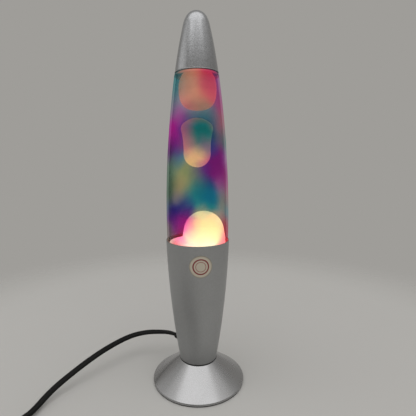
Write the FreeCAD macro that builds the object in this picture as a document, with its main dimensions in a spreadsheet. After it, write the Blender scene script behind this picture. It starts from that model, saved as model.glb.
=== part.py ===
"""Liquid motion lamp: spun foot and cup, bottle of liquid and wax over a small reflector bulb, metal cap.

Millimetres, +Z up, origin at the middle of the table surface that the lamp stands on. The front faces -Y.
"""

import FreeCAD
import Part
import Sketcher
import math
import os

from FreeCAD import Placement, Rotation, Vector

# Driving dimensions in mm and degrees, one cell of the sheet each.
SIZES = {
    # foot: a straight cone with a short upright lip
    "foot_radius": 47.5,
    "foot_top_radius": 18.3,
    "foot_top": 24.3,
    "foot_wall": 0.9,
    "lip_low": 1.2,
    "lip_height": 1.7,
    # bottom cover, dished in the middle to hide the nut
    "cover_thickness": 0.8,
    "cover_gap": 0.3,
    "dish_radius": 18.0,
    "dish_depth": 5.0,
    "pad_height": 1.6,
    "pad_radius": 4.5,
    "pad_circle": 38.0,
    # hollow threaded rod and its nuts
    "rod_radius": 5.0,
    "rod_bore": 3.6,
    "rod_clearance": 0.2,
    "rod_stub": 2.6,
    "nut_flats": 14.0,
    "nut_height": 3.0,
    "washer_radius": 9.0,
    "washer_height": 0.8,
    # cup: one long arc from foot to rim
    "cup_rim_radius": 31.74,
    "cup_rim": 150.6,
    "cup_wall": 0.8,
    "cup_floor": 1.0,
    "cup_edge_round": 1.3,
    "cup_curve": 930.0,
    "cup_widest": 180.0,
    # round sticker on the cup
    "label_radius": 11.0,
    "label_height": 131.0,
    "label_angle": 5.7,
    "label_thickness": 0.16,
    # cord gland in the back of the cup
    "gland_height": 33.0,
    "gland_angle": 38.0,
    "gland_tilt": 8.8,
    "gland_barrel": 4.0,
    "gland_flange": 5.6,
    "gland_flange_thickness": 1.5,
    "gland_depth": 3.0,
    "gland_relief": 20.0,
    "gland_tip": 3.5,
    "gland_fit": 0.05,
    # lead
    "cord_diameter": 5.2,
    "lead_diameter": 1.0,
    # seat ring for the bottle
    "seat_top": 116.0,
    "seat_height": 8.0,
    "seat_bore": 22.0,
    "seat_thickness": 0.9,
    "seat_fit": 0.1,
    # lamp holder and its bracket
    "bracket_thickness": 1.0,
    "bracket_width": 11.0,
    "bracket_end": 4.0,
    "bracket_gap": 0.3,
    "holder_low": 34.6,
    "holder_waist": 42.0,
    "holder_top": 57.0,
    "holder_waist_radius": 9.5,
    "holder_radius": 12.0,
    "holder_cavity": 6.0,
    "holder_shelf": 43.0,
    "shell_radius": 7.8,
    "shell_wall": 0.45,
    "shell_flange": 9.6,
    "screw_radius": 1.5,
    "screw_fit": 0.05,
    "screw_head": 2.7,
    "side_screw_height": 48.0,
    "terminal_flat": 8.8,
    "terminal_low": 38.8,
    "terminal_height": 3.0,
    "terminal_depth": 5.0,
    "terminal_width": 4.4,
    "terminal_spacing": 4.8,
    "terminal_screw": 1.1,
    "terminal_head": 1.5,
    "contact_width": 4.0,
    "contact_gap": 0.3,
    # reflector bulb, 39 mm wide and 66 mm long, E14 cap
    "bulb_low": 40.6,
    "bulb_length": 66.0,
    "bulb_radius": 19.5,
    "bulb_neck": 6.2,
    "bulb_flare_curve": 60.0,
    "bulb_side_curve": 40.0,
    "bulb_glass": 0.8,
    "bulb_cap_radius": 6.95,
    "bulb_cap_length": 17.0,
    "bulb_rib_pitch": 2.82,
    "bulb_rib_depth": 0.5,
    "bulb_shoulder": 13.0,
    "bulb_crown": 13.5,
    "bulb_brow": 6.5,
    "bulb_face": 16.6,
    "bulb_contact_radius": 2.4,
    "bulb_contact_height": 1.1,
    "bulb_insulator_height": 3.0,
    "bulb_joint_gap": 0.1,
    # bottle: one long arc above its widest height, and one below that stays a gap inside the cup at the base
    "bottle_gap": 0.2,
    "bottle_swell": 0.01,
    "bottle_heel_gap": 0.355,
    "bottle_widest": 174.0,
    "bottle_curve": 965.0,
    "bottle_wall": 2.0,
    "bottle_floor": 3.0,
    "heel_round": 4.0,
    "shoulder_low": 309.5,
    "shoulder_high": 312.1,
    "shoulder_radius": 18.97,
    "shoulder_round": 3.1,
    "neck_low": 322.0,
    "neck_radius": 12.4,
    "neck_curve": 9.0,
    "neck_wall": 2.6,
    "bottle_top": 330.0,
    # crown closure and liner
    "crown_skirt": 4.6,
    "crown_clearance": 0.25,
    "crown_sheet": 0.4,
    "liner_thickness": 0.6,
    # liquid and wax
    "liquid_top": 324.5,
    "liquid_gap": 0.15,
    "wax_level": 150.0,
    "dome_offset": 6.3,
    "dome_radius": 21.3,
    "dome_top": 179.3,
    "blob_low_bottom": 223.0,
    "blob_top": 270.6,
    "blob_low_radius": 13.3,
    "blob_waist_radius": 13.4,
    "blob_high_radius": 15.6,
    "top_blob_middle": 298.0,
    "top_blob_radius": 18.2,
    "top_blob_half": 20.2,
    "top_blob_round": 16.0,
    "top_blob_offset": 0.8,
    "heat_ring_radius": 21.5,
    "heat_wire_radius": 1.2,
    # metal cap
    "cap_low": 311.7,
    "cap_height": 56.1,
    "cap_low_radius": 20.9,
    "cap_high_radius": 12.45,
    "cap_nose": 11.9,
    "cap_curve": 440.0,
    "cap_brow": 5.75,
    "cap_brow_radius": 10.05,
    "cap_brow_curve": 26.0,
    "cap_wall": 0.8,
    # inline switch
    "switch_length": 56.0,
    "switch_width": 25.0,
    "switch_height": 15.0,
    "switch_split": 6.0,
    "switch_wall": 1.8,
    "switch_corner": 9.0,
    "rocker_length": 17.0,
    "rocker_width": 10.0,
    "rocker_gap": 0.4,
    "rocker_pivot": 11.2,
    "rocker_depth": 4.2,
    "rocker_tip_angle": 34.5,
    "rocker_middle": 4.2,
    "rocker_throw": 14.0,
    "pivot_radius": 1.4,
    "pivot_fit": 0.06,
    "pivot_depth": 1.3,
    # flat two-pin plug
    "plug_width": 35.3,
    "plug_thickness": 13.7,
    "plug_length": 36.0,
    "plug_neck": 12.0,
    "plug_shoulder": 11.0,
    "plug_collar_radius": 4.2,
    "plug_collar_length": 8.0,
    "pin_spacing": 18.6,
    "pin_radius": 2.0,
    "pin_length": 19.0,
    "sleeve_length": 10.0,
    "sleeve_radius": 1.8,
    "pin_core": 1.5,
    # put-away coil
    "coil_radius": 37.5,
    "coil_pitch": 5.9,
    "coil_layer": 5.9,
}

# The lead's free stretch, between the gland's tip and the switch, which lies along the Y axis.
LAMP_ROUTE = [
    (-47.0, 46.2, 26.5),
    (-62.5, 46.8, 25.8),
    (-78.5, 40.9, 24.9),
    (-93.5, 27.0, 23.4),
    (-109.5, 9.2, 19.8),
    (-127.0, -11.2, 13.0),
    (-143.6, -33.6, 6.2),
    (-151.2, -56.5, 2.6),
]
GLAND_RUN = 13.0
SWITCH_RUN = 10.0
SWITCH_PLACE = (-155.5, -106.0)
SWITCH_HEADING = -90
COIL_CENTRE = (-97.5, -124.5)
COIL_TURNS = 6
COIL_EXTRA = 0.125
COIL_RUN = 9.0
COIL_ROUTE = [(-155.5, -145.0, 6.0), (-148.5, -157.0, 2.8), (-132.5, -162.0, 2.6)]
TAIL = 26.0

IN_POLE = -1
OUT_POLE = 1

doc = FreeCAD.newDocument("liquid_motion_lamp")
nodes = []


class Size:
    """A length that follows the sheet: its value now and the expression that gives it."""

    def __init__(self, value, text):
        self.value = float(value)
        self.text = text

    def joined(self, other, sign, value):
        return Size(value, "(%s %s %s)" % (self.text, sign, other.text))

    def __add__(self, other):
        other = size(other)
        return self.joined(other, "+", self.value + other.value)

    def __sub__(self, other):
        other = size(other)
        return self.joined(other, "-", self.value - other.value)

    def __mul__(self, other):
        other = size(other)
        return self.joined(other, "*", self.value * other.value)

    def __truediv__(self, other):
        other = size(other)
        return self.joined(other, "/", self.value / other.value)

    def __radd__(self, other):
        return size(other) + self

    def __rsub__(self, other):
        return size(other) - self

    def __rmul__(self, other):
        return size(other) * self

    def __neg__(self):
        return size(-1) * self


class Sheet:
    """The driving dimensions as attributes, each bound to its cell."""

    def __init__(self, table):
        self.cells = doc.addObject("Spreadsheet::Sheet", "Sizes")
        self.rows = 0
        for name, value in table.items():
            self.enter(name, value, str(value))
        doc.recompute()

    def enter(self, name, value, content):
        self.rows += 1
        self.cells.set("A%d" % self.rows, name)
        self.cells.set("B%d" % self.rows, content)
        self.cells.setAlias("B%d" % self.rows, name)
        setattr(self, name, Size(value, "Sizes." + name))

    def derive(self, name, length):
        """Adds a cell that is worked out from the others."""
        self.enter(name, length.value, "=" + length.text.replace("Sizes.", ""))


def size(number):
    return number if isinstance(number, Size) else Size(number, "%r" % float(number))


def root(length):
    return Size(math.sqrt(length.value), "sqrt(%s)" % length.text)


def bind(thing, path, length):
    """Sets a property and ties it to the sheet."""
    length = size(length)
    if "Sizes." in length.text:
        thing.setExpression(path, length.text)


def plane(body, role):
    return next(f for f in body.Origin.OriginFeatures if f.Role == role)


def new_sketch(body, role, name, offset=0):
    sketch = body.newObject("Sketcher::SketchObject", name)
    sketch.AttachmentSupport = (plane(body, role), [""])
    sketch.MapMode = "FlatFace"
    offset = size(offset)
    sketch.AttachmentOffset = Placement(Vector(0, 0, offset.value), Rotation())
    bind(sketch, "AttachmentOffset.Base.z", offset)
    return sketch


def hold(sketch, geometry, end, across, up):
    """Pins a point of a sketch by its two distances from the origin."""
    for kind, axis, length in (("DistanceX", -2, size(across)), ("DistanceY", -1, size(up))):
        if abs(length.value) < 1e-9:
            sketch.addConstraint(Sketcher.Constraint("PointOnObject", geometry, end, axis))
            continue
        if length.value > 0:
            rule = Sketcher.Constraint(kind, -1, 1, geometry, end, length.value)
        else:
            length = -length
            rule = Sketcher.Constraint(kind, geometry, end, -1, 1, length.value)
        index = sketch.addConstraint(rule)
        bind(sketch, "Constraints[%d]" % index, length)


def outline(sketch, corners):
    """Draws a closed outline through corners (across, up) or (across, up, curve).

    curve is the radius of the arc that leads on to the next corner: positive turns left, negative right.
    With IN_POLE or OUT_POLE instead, the arc's centre lies on the upright axis, so its end there is round.
    """
    edges = []
    for here, there in zip(corners, corners[1:] + corners[:1]):
        a = Vector(size(here[0]).value, size(here[1]).value, 0)
        b = Vector(size(there[0]).value, size(there[1]).value, 0)
        if len(here) == 2:
            edges.append((sketch.addGeometry(Part.LineSegment(a, b)), 1, 2))
            continue
        polar = here[2] in (IN_POLE, OUT_POLE)
        curve = size(here[2] * pole_radius(a, b)) if polar else size(here[2])
        chord = b - a
        half = chord.Length / 2
        bow = abs(curve.value) - math.sqrt(curve.value**2 - half**2)
        right = Vector(chord.y, -chord.x, 0).normalize()
        middle = (a + b) * 0.5 + right * math.copysign(bow, curve.value)
        arc = sketch.addGeometry(Part.Arc(a, middle, b))
        edges.append((arc, 1, 2) if curve.value > 0 else (arc, 2, 1))
        if polar:
            sketch.addConstraint(Sketcher.Constraint("PointOnObject", arc, 3, -2))
            continue
        index = sketch.addConstraint(Sketcher.Constraint("Radius", arc, abs(curve.value)))
        bind(sketch, "Constraints[%d]" % index, curve if curve.value > 0 else -curve)
    for (edge, _, last), (after, first, _) in zip(edges, edges[1:] + edges[:1]):
        sketch.addConstraint(Sketcher.Constraint("Coincident", edge, last, after, first))
    for (edge, first, _), corner in zip(edges, corners):
        hold(sketch, edge, first, corner[0], corner[1])


def pole_radius(a, b):
    """Radius of the arc through two points, one of them on the upright axis, where the arc is level."""
    across = max(abs(a.x), abs(b.x))
    rise = abs(a.y - b.y)
    return (across**2 + rise**2) / (2 * rise)


def circle(sketch, across, up, radius):
    ring = sketch.addGeometry(Part.Circle(Vector(size(across).value, size(up).value, 0), Vector(0, 0, 1),
                                          size(radius).value))
    hold(sketch, ring, 3, across, up)
    index = sketch.addConstraint(Sketcher.Constraint("Radius", ring, size(radius).value))
    bind(sketch, "Constraints[%d]" % index, radius)


def turned(name, corners, keep=True):
    """A turned, spun or blown piece: an outline in the XZ plane, revolved about Z."""
    body = doc.addObject("PartDesign::Body", name)
    sketch = new_sketch(body, "XZ_Plane", name + "_outline")
    outline(sketch, corners)
    turn = body.newObject("PartDesign::Revolution", name + "_turn")
    turn.Profile = sketch
    turn.ReferenceAxis = (sketch, ["V_Axis"])
    turn.Angle = 360
    return kept(body) if keep else body


def padded(name, role, corners, low, height, keep=True, middle=False):
    """A flat piece: an outline on one of the origin planes, thickened."""
    body = doc.addObject("PartDesign::Body", name)
    sketch = new_sketch(body, role, name + "_outline", low)
    outline(sketch, corners)
    pad = body.newObject("PartDesign::Pad", name + "_pad")
    pad.Profile = sketch
    pad.Length = size(height).value
    bind(pad, "Length", height)
    pad.Midplane = middle
    return kept(body) if keep else body


def pocket(body, role, name, shape, low, depth, middle=False, reverse=False):
    """Cuts a pocket whose outline shape(sketch) draws; it goes against the plane's normal unless reversed."""
    sketch = new_sketch(body, role, name + "_outline", low)
    shape(sketch)
    cut = body.newObject("PartDesign::Pocket", name)
    cut.Profile = sketch
    cut.Length = size(depth).value
    bind(cut, "Length", depth)
    cut.Midplane = middle
    cut.Reversed = reverse
    return cut


def rounded(body, name, radius, choose):
    """Rounds the edges that choose(edge) picks."""
    doc.recompute()
    tip = body.Tip
    picked = ["Edge%d" % (k + 1) for k, edge in enumerate(tip.Shape.Edges) if choose(edge)]
    fillet = body.newObject("PartDesign::Fillet", name)
    fillet.Base = (tip, picked)
    fillet.Radius = size(radius).value
    bind(fillet, "Radius", radius)
    return fillet


def kept(thing):
    nodes.append(thing)
    return thing


def place(thing, position, rotation=Rotation()):
    """Moves a piece; each coordinate that follows the sheet stays tied to it."""
    lengths = [size(c) for c in position]
    thing.Placement = Placement(Vector(*[c.value for c in lengths]), rotation)
    for letter, length in zip("xyz", lengths):
        bind(thing, "Placement.Base." + letter, length)


def round_rod(name, radius, length, position, rotation=Rotation()):
    rod = doc.addObject("Part::Cylinder", name)
    rod.Radius = size(radius).value
    rod.Height = size(length).value
    bind(rod, "Radius", radius)
    bind(rod, "Height", length)
    place(rod, position, rotation)
    return rod


def boolean(kind, name, base, tool, keep=True):
    """Part::Cut, Part::Fuse or Part::Common of two objects."""
    result = doc.addObject(kind, name)
    result.Base = base
    result.Tool = tool
    return kept(result) if keep else result


def group(name, pieces):
    """Identical pieces that share one node, as separate solids."""
    result = doc.addObject("Part::Compound", name)
    result.Links = pieces
    return kept(result)


def fixed(name, shape, position=Placement()):
    feature = doc.addObject("Part::Feature", name)
    feature.Shape = shape
    feature.Placement = position
    return kept(feature)


S = Sheet(SIZES)


def cup_radius(height, inset=0):
    """Radius of the cup's long arc at a height, set in by a wall."""
    centre = S.cup_rim_radius - root(S.cup_curve * S.cup_curve
                                     - (S.cup_rim - S.cup_widest) * (S.cup_rim - S.cup_widest))
    curve = S.cup_curve - inset
    rise = size(height) - S.cup_widest
    return centre + root(curve * curve - rise * rise)


def derive_sizes():
    """The bottle's radius comes from the cup's rim, and its lower arc from the room inside the cup."""
    S.derive("bracket_top", S.side_screw_height + S.bracket_end)
    S.derive("bottle_base", S.seat_top + S.bottle_gap)
    S.derive("bottle_radius", S.cup_rim_radius - S.cup_wall + S.bottle_swell)
    S.derive("bottle_heel_inset", S.bottle_radius - cup_radius(S.bottle_base, S.cup_wall + S.bottle_heel_gap))
    drop = S.bottle_widest - S.bottle_base
    inset = S.bottle_heel_inset
    S.derive("bottle_low_curve", (drop * drop + inset * inset) / (inset * 2))
    doc.recompute()


def bottle_side(height, inset=0):
    """Radius of the bottle's arc above or below its widest height, set in by a wall."""
    above = size(height).value > S.bottle_widest.value
    arc = S.bottle_curve if above else S.bottle_low_curve
    curve = arc - inset
    rise = size(height) - S.bottle_widest
    return S.bottle_radius - arc + root(curve * curve - rise * rise)


def make_foot():
    bore = S.rod_radius + S.rod_clearance
    lip_top = S.lip_low + S.lip_height
    slope = (S.foot_top - lip_top) / (S.foot_radius - S.foot_top_radius)
    slant = root(size(1) + slope * slope)
    inner_top = S.foot_top_radius - S.foot_wall * (slant - 1) / slope
    inner_low = lip_top - S.foot_wall * (slant - slope)
    foot = turned("foot_shell", [
        (S.foot_radius - S.foot_wall, S.lip_low),
        (S.foot_radius, S.lip_low),
        (S.foot_radius, lip_top),
        (S.foot_top_radius, S.foot_top),
        (bore, S.foot_top),
        (bore, S.foot_top - S.foot_wall),
        (inner_top, S.foot_top - S.foot_wall),
        (S.foot_radius - S.foot_wall, inner_low),
    ])
    rim = S.foot_radius.value
    rounded(foot, "foot_lip_round", S.foot_wall * 0.6,
            lambda edge: edge.BoundBox.XMax > rim - 0.01 and edge.BoundBox.ZMax > lip_top.value - 0.01)

    low = S.pad_height
    dish = S.pad_height + S.dish_depth
    slope_run = S.dish_depth * 0.8
    thick = S.cover_thickness
    edge = S.foot_radius - S.foot_wall - S.cover_gap
    turned("base_cover", [
        (bore, dish),
        (S.dish_radius, dish),
        (S.dish_radius + slope_run, low),
        (edge, low),
        (edge, low + thick),
        (S.dish_radius + slope_run + thick * 0.5, low + thick),
        (S.dish_radius + thick * 0.5, dish + thick),
        (bore, dish + thick),
    ])
    pads = []
    for number in range(4):
        angle = math.radians(45 + 90 * number)
        across = S.pad_circle * math.cos(angle)
        along = S.pad_circle * math.sin(angle)
        pads.append(round_rod("rubber_foot_%d" % number, S.pad_radius, S.pad_height, (across, along, 0)))
    group("rubber_feet", pads)


def hexagon(flats):
    """Corners of a hexagon, flats facing +Y and -Y."""
    corner = flats / math.sqrt(3)
    points = []
    for number in range(6):
        angle = math.radians(60 * number)
        points.append((corner * round(math.cos(angle), 9), corner * round(math.sin(angle), 9)))
    return points


def nut(name, low):
    body = padded(name, "XY_Plane", hexagon(S.nut_flats), low, S.nut_height)
    pocket(body, "XY_Plane", name + "_bore", lambda sketch: circle(sketch, 0, 0, S.rod_radius + S.gland_fit),
           low, S.nut_height * 2, middle=True)
    return body


def washer(name, low):
    bore = S.rod_radius + S.rod_clearance
    return turned(name, [
        (bore, low),
        (S.washer_radius, low),
        (S.washer_radius, low + S.washer_height),
        (bore, low + S.washer_height),
    ])


def make_clamp():
    """One hollow rod pulls cover, foot, cup and bracket together between two nuts."""
    dish = S.pad_height + S.dish_depth
    washer("base_washer", dish - S.washer_height)
    nut("base_nut", dish - S.washer_height - S.nut_height)
    floor = S.foot_top + S.cup_floor + S.bracket_thickness
    washer("cup_washer", floor)
    nut("cup_nut", floor + S.washer_height)
    low = dish - S.washer_height - S.nut_height - S.pad_height * 0.3
    high = floor + S.washer_height + S.nut_height + S.rod_stub
    chamfer = (S.rod_radius - S.rod_bore) * 0.4
    turned("threaded_rod", [
        (S.rod_bore, low),
        (S.rod_radius - chamfer, low),
        (S.rod_radius, low + chamfer),
        (S.rod_radius, high - chamfer),
        (S.rod_radius - chamfer, high),
        (S.rod_bore, high),
    ])


def gland_frame():
    """Where the gland's axis leaves the cup wall: its origin and the rotation that turns Z outwards."""
    angle = math.radians(90 + S.gland_angle.value)
    wall = cup_radius(S.gland_height)
    position = (wall * math.cos(angle), wall * math.sin(angle), S.gland_height)
    turn = Rotation(Vector(0, 0, 1), 90 + S.gland_angle.value)
    tilt = Rotation(Vector(0, 1, 0), 90 + S.gland_tilt.value)
    return position, turn.multiply(tilt)


def cup_form(name, grow):
    """The solid that fills the cup's outside, grown by a little, to fit pieces against."""
    low = S.foot_top
    return turned(name, [
        (0, low),
        (cup_radius(low, -grow), low, S.cup_curve + grow),
        (cup_radius(S.cup_rim, -grow), S.cup_rim),
        (0, S.cup_rim),
    ], keep=False)


def make_cup():
    bore = S.rod_radius + S.rod_clearance
    low = S.foot_top
    floor = low + S.cup_floor
    edge = low + S.cup_edge_round
    spun = turned("cup_spun", [
        (bore, low),
        (cup_radius(edge) - S.cup_edge_round, low, S.cup_edge_round * 1.02),
        (cup_radius(edge), edge, S.cup_curve),
        (S.cup_rim_radius, S.cup_rim),
        (cup_radius(S.cup_rim, S.cup_wall), S.cup_rim, S.cup_wall - S.cup_curve),
        (cup_radius(edge, S.cup_wall), edge),
        (cup_radius(edge, S.cup_wall) - S.cup_edge_round * 0.3, floor),
        (bore, floor),
    ], keep=False)
    position, rotation = gland_frame()
    hole = round_rod("gland_hole", S.gland_barrel + S.gland_fit, S.gland_depth * 4, position, rotation)
    back = rotation.multVec(Vector(0, 0, -2 * S.gland_depth.value))
    place(hole, [c + b for c, b in zip(position, back)], rotation)
    boolean("Part::Cut", "cup_shell", spun, hole)

    skin = boolean("Part::Cut", "label_skin", cup_form("label_outside", S.label_thickness + 0.02),
                   cup_form("label_inside", size(0.02)), keep=False)
    angle = -90 + S.label_angle.value
    facing = Rotation(Vector(0, 0, 1), angle).multiply(Rotation(Vector(0, 1, 0), 90))
    punch = round_rod("label_punch", S.label_radius, S.cup_rim_radius * 2, (0, 0, S.label_height), facing)
    boolean("Part::Common", "round_label", skin, punch)

    top = S.seat_top
    foot = S.seat_top - S.seat_height
    under = top - S.seat_thickness
    inset = S.cup_wall + S.seat_fit
    turned("bottle_seat", [
        (S.seat_bore, under),
        (cup_radius(under, inset) - S.seat_thickness, under),
        (cup_radius(foot, inset) - S.seat_thickness, foot),
        (cup_radius(foot, inset), foot),
        (cup_radius(top, inset), top),
        (S.seat_bore, top),
    ])


def make_gland():
    """Flanged bush through the cup wall that runs out into a ribbed, tapered strain relief."""
    position, rotation = gland_frame()
    bore = S.cord_diameter / 2 + S.gland_fit
    skirt = S.gland_flange_thickness
    ribs = 4
    step = (S.gland_relief - skirt) / (ribs * 2 + 1)
    base = S.gland_barrel + 0.6
    corners = [
        (bore, -S.gland_depth),
        (S.gland_barrel, -S.gland_depth),
        (S.gland_barrel, -skirt * 0.6),
        (S.gland_flange, -skirt * 0.6),
        (S.gland_flange, skirt * 0.6),
        (S.gland_flange - skirt * 0.4, skirt),
    ]
    for number in range(ribs * 2 + 1):
        share = (number + 1) / (ribs * 2 + 1)
        thin = base + (S.gland_tip - base) * share
        if number % 2:
            thin = thin - 0.45
        corners.append((thin, skirt + step * number))
        corners.append((thin, skirt + step * (number + 1)))
    corners.append((bore, S.gland_relief))
    bush = turned("gland_moulded", corners, keep=False)
    place(bush, position, rotation)
    gland = doc.addObject("Part::Cut", "cord_gland")
    gland.Base = bush
    gland.Tool = gland_seat()
    kept(gland)
    entry = round_rod("cord_entry", S.cord_diameter / 2, S.gland_depth + S.gland_relief, position, rotation)
    inside = rotation.multVec(Vector(0, 0, -S.gland_depth.value))
    place(entry, [c + b for c, b in zip(position, inside)], rotation)
    kept(entry)


def gland_seat():
    """The cup's outside near the gland, less the hole that the bush passes."""
    position, rotation = gland_frame()
    form = cup_form("gland_form", size(0.05))
    passage = round_rod("gland_passage", S.gland_barrel, S.gland_depth * 4, position, rotation)
    back = rotation.multVec(Vector(0, 0, -3 * S.gland_depth.value))
    place(passage, [c + b for c, b in zip(position, back)], rotation)
    return boolean("Part::Cut", "gland_bed", form, passage, keep=False)


def screw(name, shank, position, rotation, radius=None, head_radius=None):
    """Cheese-head screw along its own Z, head outwards, with a slot."""
    radius = radius or S.screw_radius
    wide = head_radius or S.screw_head
    head = wide * 0.6
    body = turned(name, [
        (0, -shank),
        (radius, -shank),
        (radius, 0),
        (wide, 0),
        (wide, head * 0.7),
        (wide * 0.8, head),
        (0, head),
    ], keep=False)
    slot = wide * 0.2
    pocket(body, "XY_Plane", name + "_slot", lambda sketch: outline(sketch, [
        (-wide * 1.2, -slot), (wide * 1.2, -slot), (wide * 1.2, slot), (-wide * 1.2, slot)]),
           head * 0.5, head, reverse=True)
    place(body, position, rotation)
    return body


def make_holder():
    """Porcelain E14 holder on a U-shaped bracket."""
    turn = Rotation(Vector(0, 0, 1), S.gland_angle.value)
    thick = S.bracket_thickness
    inner = S.holder_radius + S.bracket_gap
    outer = inner + thick
    low = S.foot_top + S.cup_floor
    bend = thick * 1.5
    bracket = padded("holder_bracket", "XZ_Plane", [
        (-outer + bend, low),
        (outer - bend, low, bend),
        (outer, low + bend),
        (outer, S.bracket_top),
        (inner, S.bracket_top),
        (inner, low + bend, -(bend - thick)),
        (outer - bend, low + thick),
        (-outer + bend, low + thick, -(bend - thick)),
        (-inner, low + bend),
        (-inner, S.bracket_top),
        (-outer, S.bracket_top),
        (-outer, low + bend, bend),
    ], 0, S.bracket_width, middle=True)
    pocket(bracket, "XY_Plane", "bracket_rod_hole",
           lambda sketch: circle(sketch, 0, 0, S.rod_radius + S.rod_clearance), low, thick * 4, middle=True)
    pocket(bracket, "YZ_Plane", "bracket_screw_holes",
           lambda sketch: circle(sketch, 0, S.side_screw_height, S.screw_radius + S.rod_clearance),
           0, outer * 3, middle=True)
    bracket.Placement = Placement(Vector(), turn)

    wide = S.shell_radius + S.gland_fit
    body = turned("holder_body", [
        (S.holder_cavity, S.holder_low),
        (S.holder_waist_radius, S.holder_low),
        (S.holder_waist_radius, S.holder_waist),
        (S.holder_radius, S.holder_waist),
        (S.holder_radius, S.holder_top),
        (wide, S.holder_top),
        (wide, S.holder_shelf),
        (S.holder_cavity, S.holder_shelf),
    ])
    rounded(body, "holder_top_round", size(0.8),
            lambda edge: edge.BoundBox.ZMin > S.holder_top.value - 0.01 and
            edge.BoundBox.XMax > S.holder_radius.value - 0.01)
    pocket(body, "YZ_Plane", "holder_screw_holes",
           lambda sketch: circle(sketch, 0, S.side_screw_height, S.screw_radius + S.screw_fit),
           0, S.holder_radius * 3, middle=True)
    side = S.holder_waist_radius * 1.2
    pocket(body, "XY_Plane", "holder_terminal_flat", lambda sketch: outline(sketch, [
        (-side, S.terminal_flat), (side, S.terminal_flat), (side, side), (-side, side)]),
           S.holder_waist, S.holder_waist - S.holder_low)
    body.Placement = Placement(Vector(), turn)

    wall = S.shell_wall
    turned("holder_screw_shell", [
        (S.holder_cavity - wall, S.holder_shelf),
        (S.shell_radius, S.holder_shelf),
        (S.shell_radius, S.holder_top + S.gland_fit),
        (S.shell_flange, S.holder_top + S.gland_fit),
        (S.shell_flange, S.holder_top + S.gland_fit + wall),
        (S.shell_radius - wall, S.holder_top + S.gland_fit + wall),
        (S.shell_radius - wall, S.holder_shelf + wall),
        (S.holder_cavity - wall, S.holder_shelf + wall),
    ])

    reach = S.holder_cavity * 0.93
    top = S.bulb_low - S.contact_gap
    strip = S.shell_wall
    dip = top - strip - size(1.2)
    contact = padded("holder_centre_contact", "XZ_Plane", [
        (-reach, dip),
        (reach, dip),
        (reach, dip + strip),
        (S.bulb_contact_radius + 0.6, dip + strip),
        (S.bulb_contact_radius - 0.6, top),
        (-S.bulb_contact_radius + 0.6, top),
        (-S.bulb_contact_radius - 0.6, dip + strip),
        (-reach, dip + strip),
    ], 0, S.contact_width, middle=True)
    contact.Placement = Placement(Vector(), turn)

    depth = S.holder_radius - S.shell_radius - S.gland_fit + S.bracket_gap + thick - 0.2
    sides = []
    for name, heading in (("holder_screw_a", 0), ("holder_screw_b", 180)):
        facing = turn.multiply(Rotation(Vector(0, 0, 1), heading)).multiply(Rotation(Vector(0, 1, 0), 90))
        out = facing.multVec(Vector(0, 0, 1))
        sides.append(screw(name, depth, (outer * out.x, outer * out.y, S.side_screw_height), facing))
    group("holder_screws", sides)
    blocks = []
    ends = []
    face = S.terminal_flat + S.terminal_depth
    level = S.terminal_low + S.terminal_height / 2
    facing = Rotation(Vector(1, 0, 0), -90)
    for letter, hand in (("a", -1), ("b", 1)):
        middle = S.terminal_spacing * hand / 2
        half = S.terminal_width / 2
        block = padded("terminal_block_" + letter, "XY_Plane", [
            (middle - half, S.terminal_flat), (middle + half, S.terminal_flat), (middle + half, face),
            (middle - half, face)], S.terminal_low, S.terminal_height, keep=False)
        pocket(block, "XZ_Plane", "terminal_thread_" + letter,
               lambda sketch: circle(sketch, middle, level, S.terminal_screw + S.screw_fit),
               0, face * 3, middle=True)
        block.Placement = Placement(Vector(), turn)
        blocks.append(block)
        spot = turn.multVec(Vector(middle.value, face.value, 0))
        ends.append(screw("terminal_screw_" + letter, S.terminal_depth * 0.9, (spot.x, spot.y, level),
                          turn.multiply(facing), S.terminal_screw, S.terminal_head))
    group("terminal_blocks", blocks)
    group("terminal_screws", ends)


def biarc(start, heading, end, leaving):
    """Two arcs that join start to end and follow a heading at each."""
    span = end - start
    along = span.dot(heading + leaving)
    spread = 2 * (1 - heading.dot(leaving))
    if spread < 1e-9:
        reach = span.Length**2 / (4 * span.dot(leaving))
    else:
        reach = (-along + math.sqrt(along**2 + spread * span.dot(span))) / spread
    first = start + heading * reach
    second = end - leaving * reach
    joint = (first + second) * 0.5
    return [part_arc(start, first, joint), part_arc(joint, second, end)]


def part_arc(start, corner, end):
    """The arc that touches start-corner and corner-end at its ends."""
    chord = end - start
    half = chord.Length / 2
    middle = (start + end) * 0.5
    rise = corner - middle
    if rise.Length < 1e-7:
        return Part.LineSegment(start, end).toShape()
    angle = math.atan2(rise.Length, half)
    return Part.Arc(start, middle + rise * (half * math.tan(angle / 2) / rise.Length), end).toShape()


def route_edges(points, share=0.45):
    """Straight runs joined by tangent arcs, each as large as its two runs allow. Returns edges and radii."""
    points = [Vector(*p) for p in points]
    edges = []
    radii = []
    here = points[0]
    for before, corner, after in zip(points, points[1:], points[2:]):
        run_in = corner - before
        run_out = after - corner
        trim = share * min(run_in.Length, run_out.Length)
        turn = run_in.getAngle(run_out)
        radii.append(trim / math.tan(turn / 2))
        start = corner - run_in.normalize() * trim
        end = corner + run_out.normalize() * trim
        edges.append(Part.LineSegment(here, start).toShape())
        edges.append(part_arc(start, corner, end))
        here = end
    edges.append(Part.LineSegment(here, points[-1]).toShape())
    return edges, radii


def tube(edges, diameter):
    """A round tube along edges that follow each other, checked against section times length."""
    path = Part.Wire(edges)
    start = edges[0].Vertexes[0].Point
    heading = edges[0].tangentAt(edges[0].FirstParameter)
    section = Part.Wire([Part.Circle(start, heading, diameter / 2).toShape()])
    solid = path.makePipeShell([section], True, False)
    expected = math.pi * diameter**2 / 4 * path.Length
    print("tube length %.1f mm, volume over section times length %.5f"
          % (path.Length, solid.Volume / expected))
    return solid


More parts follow.
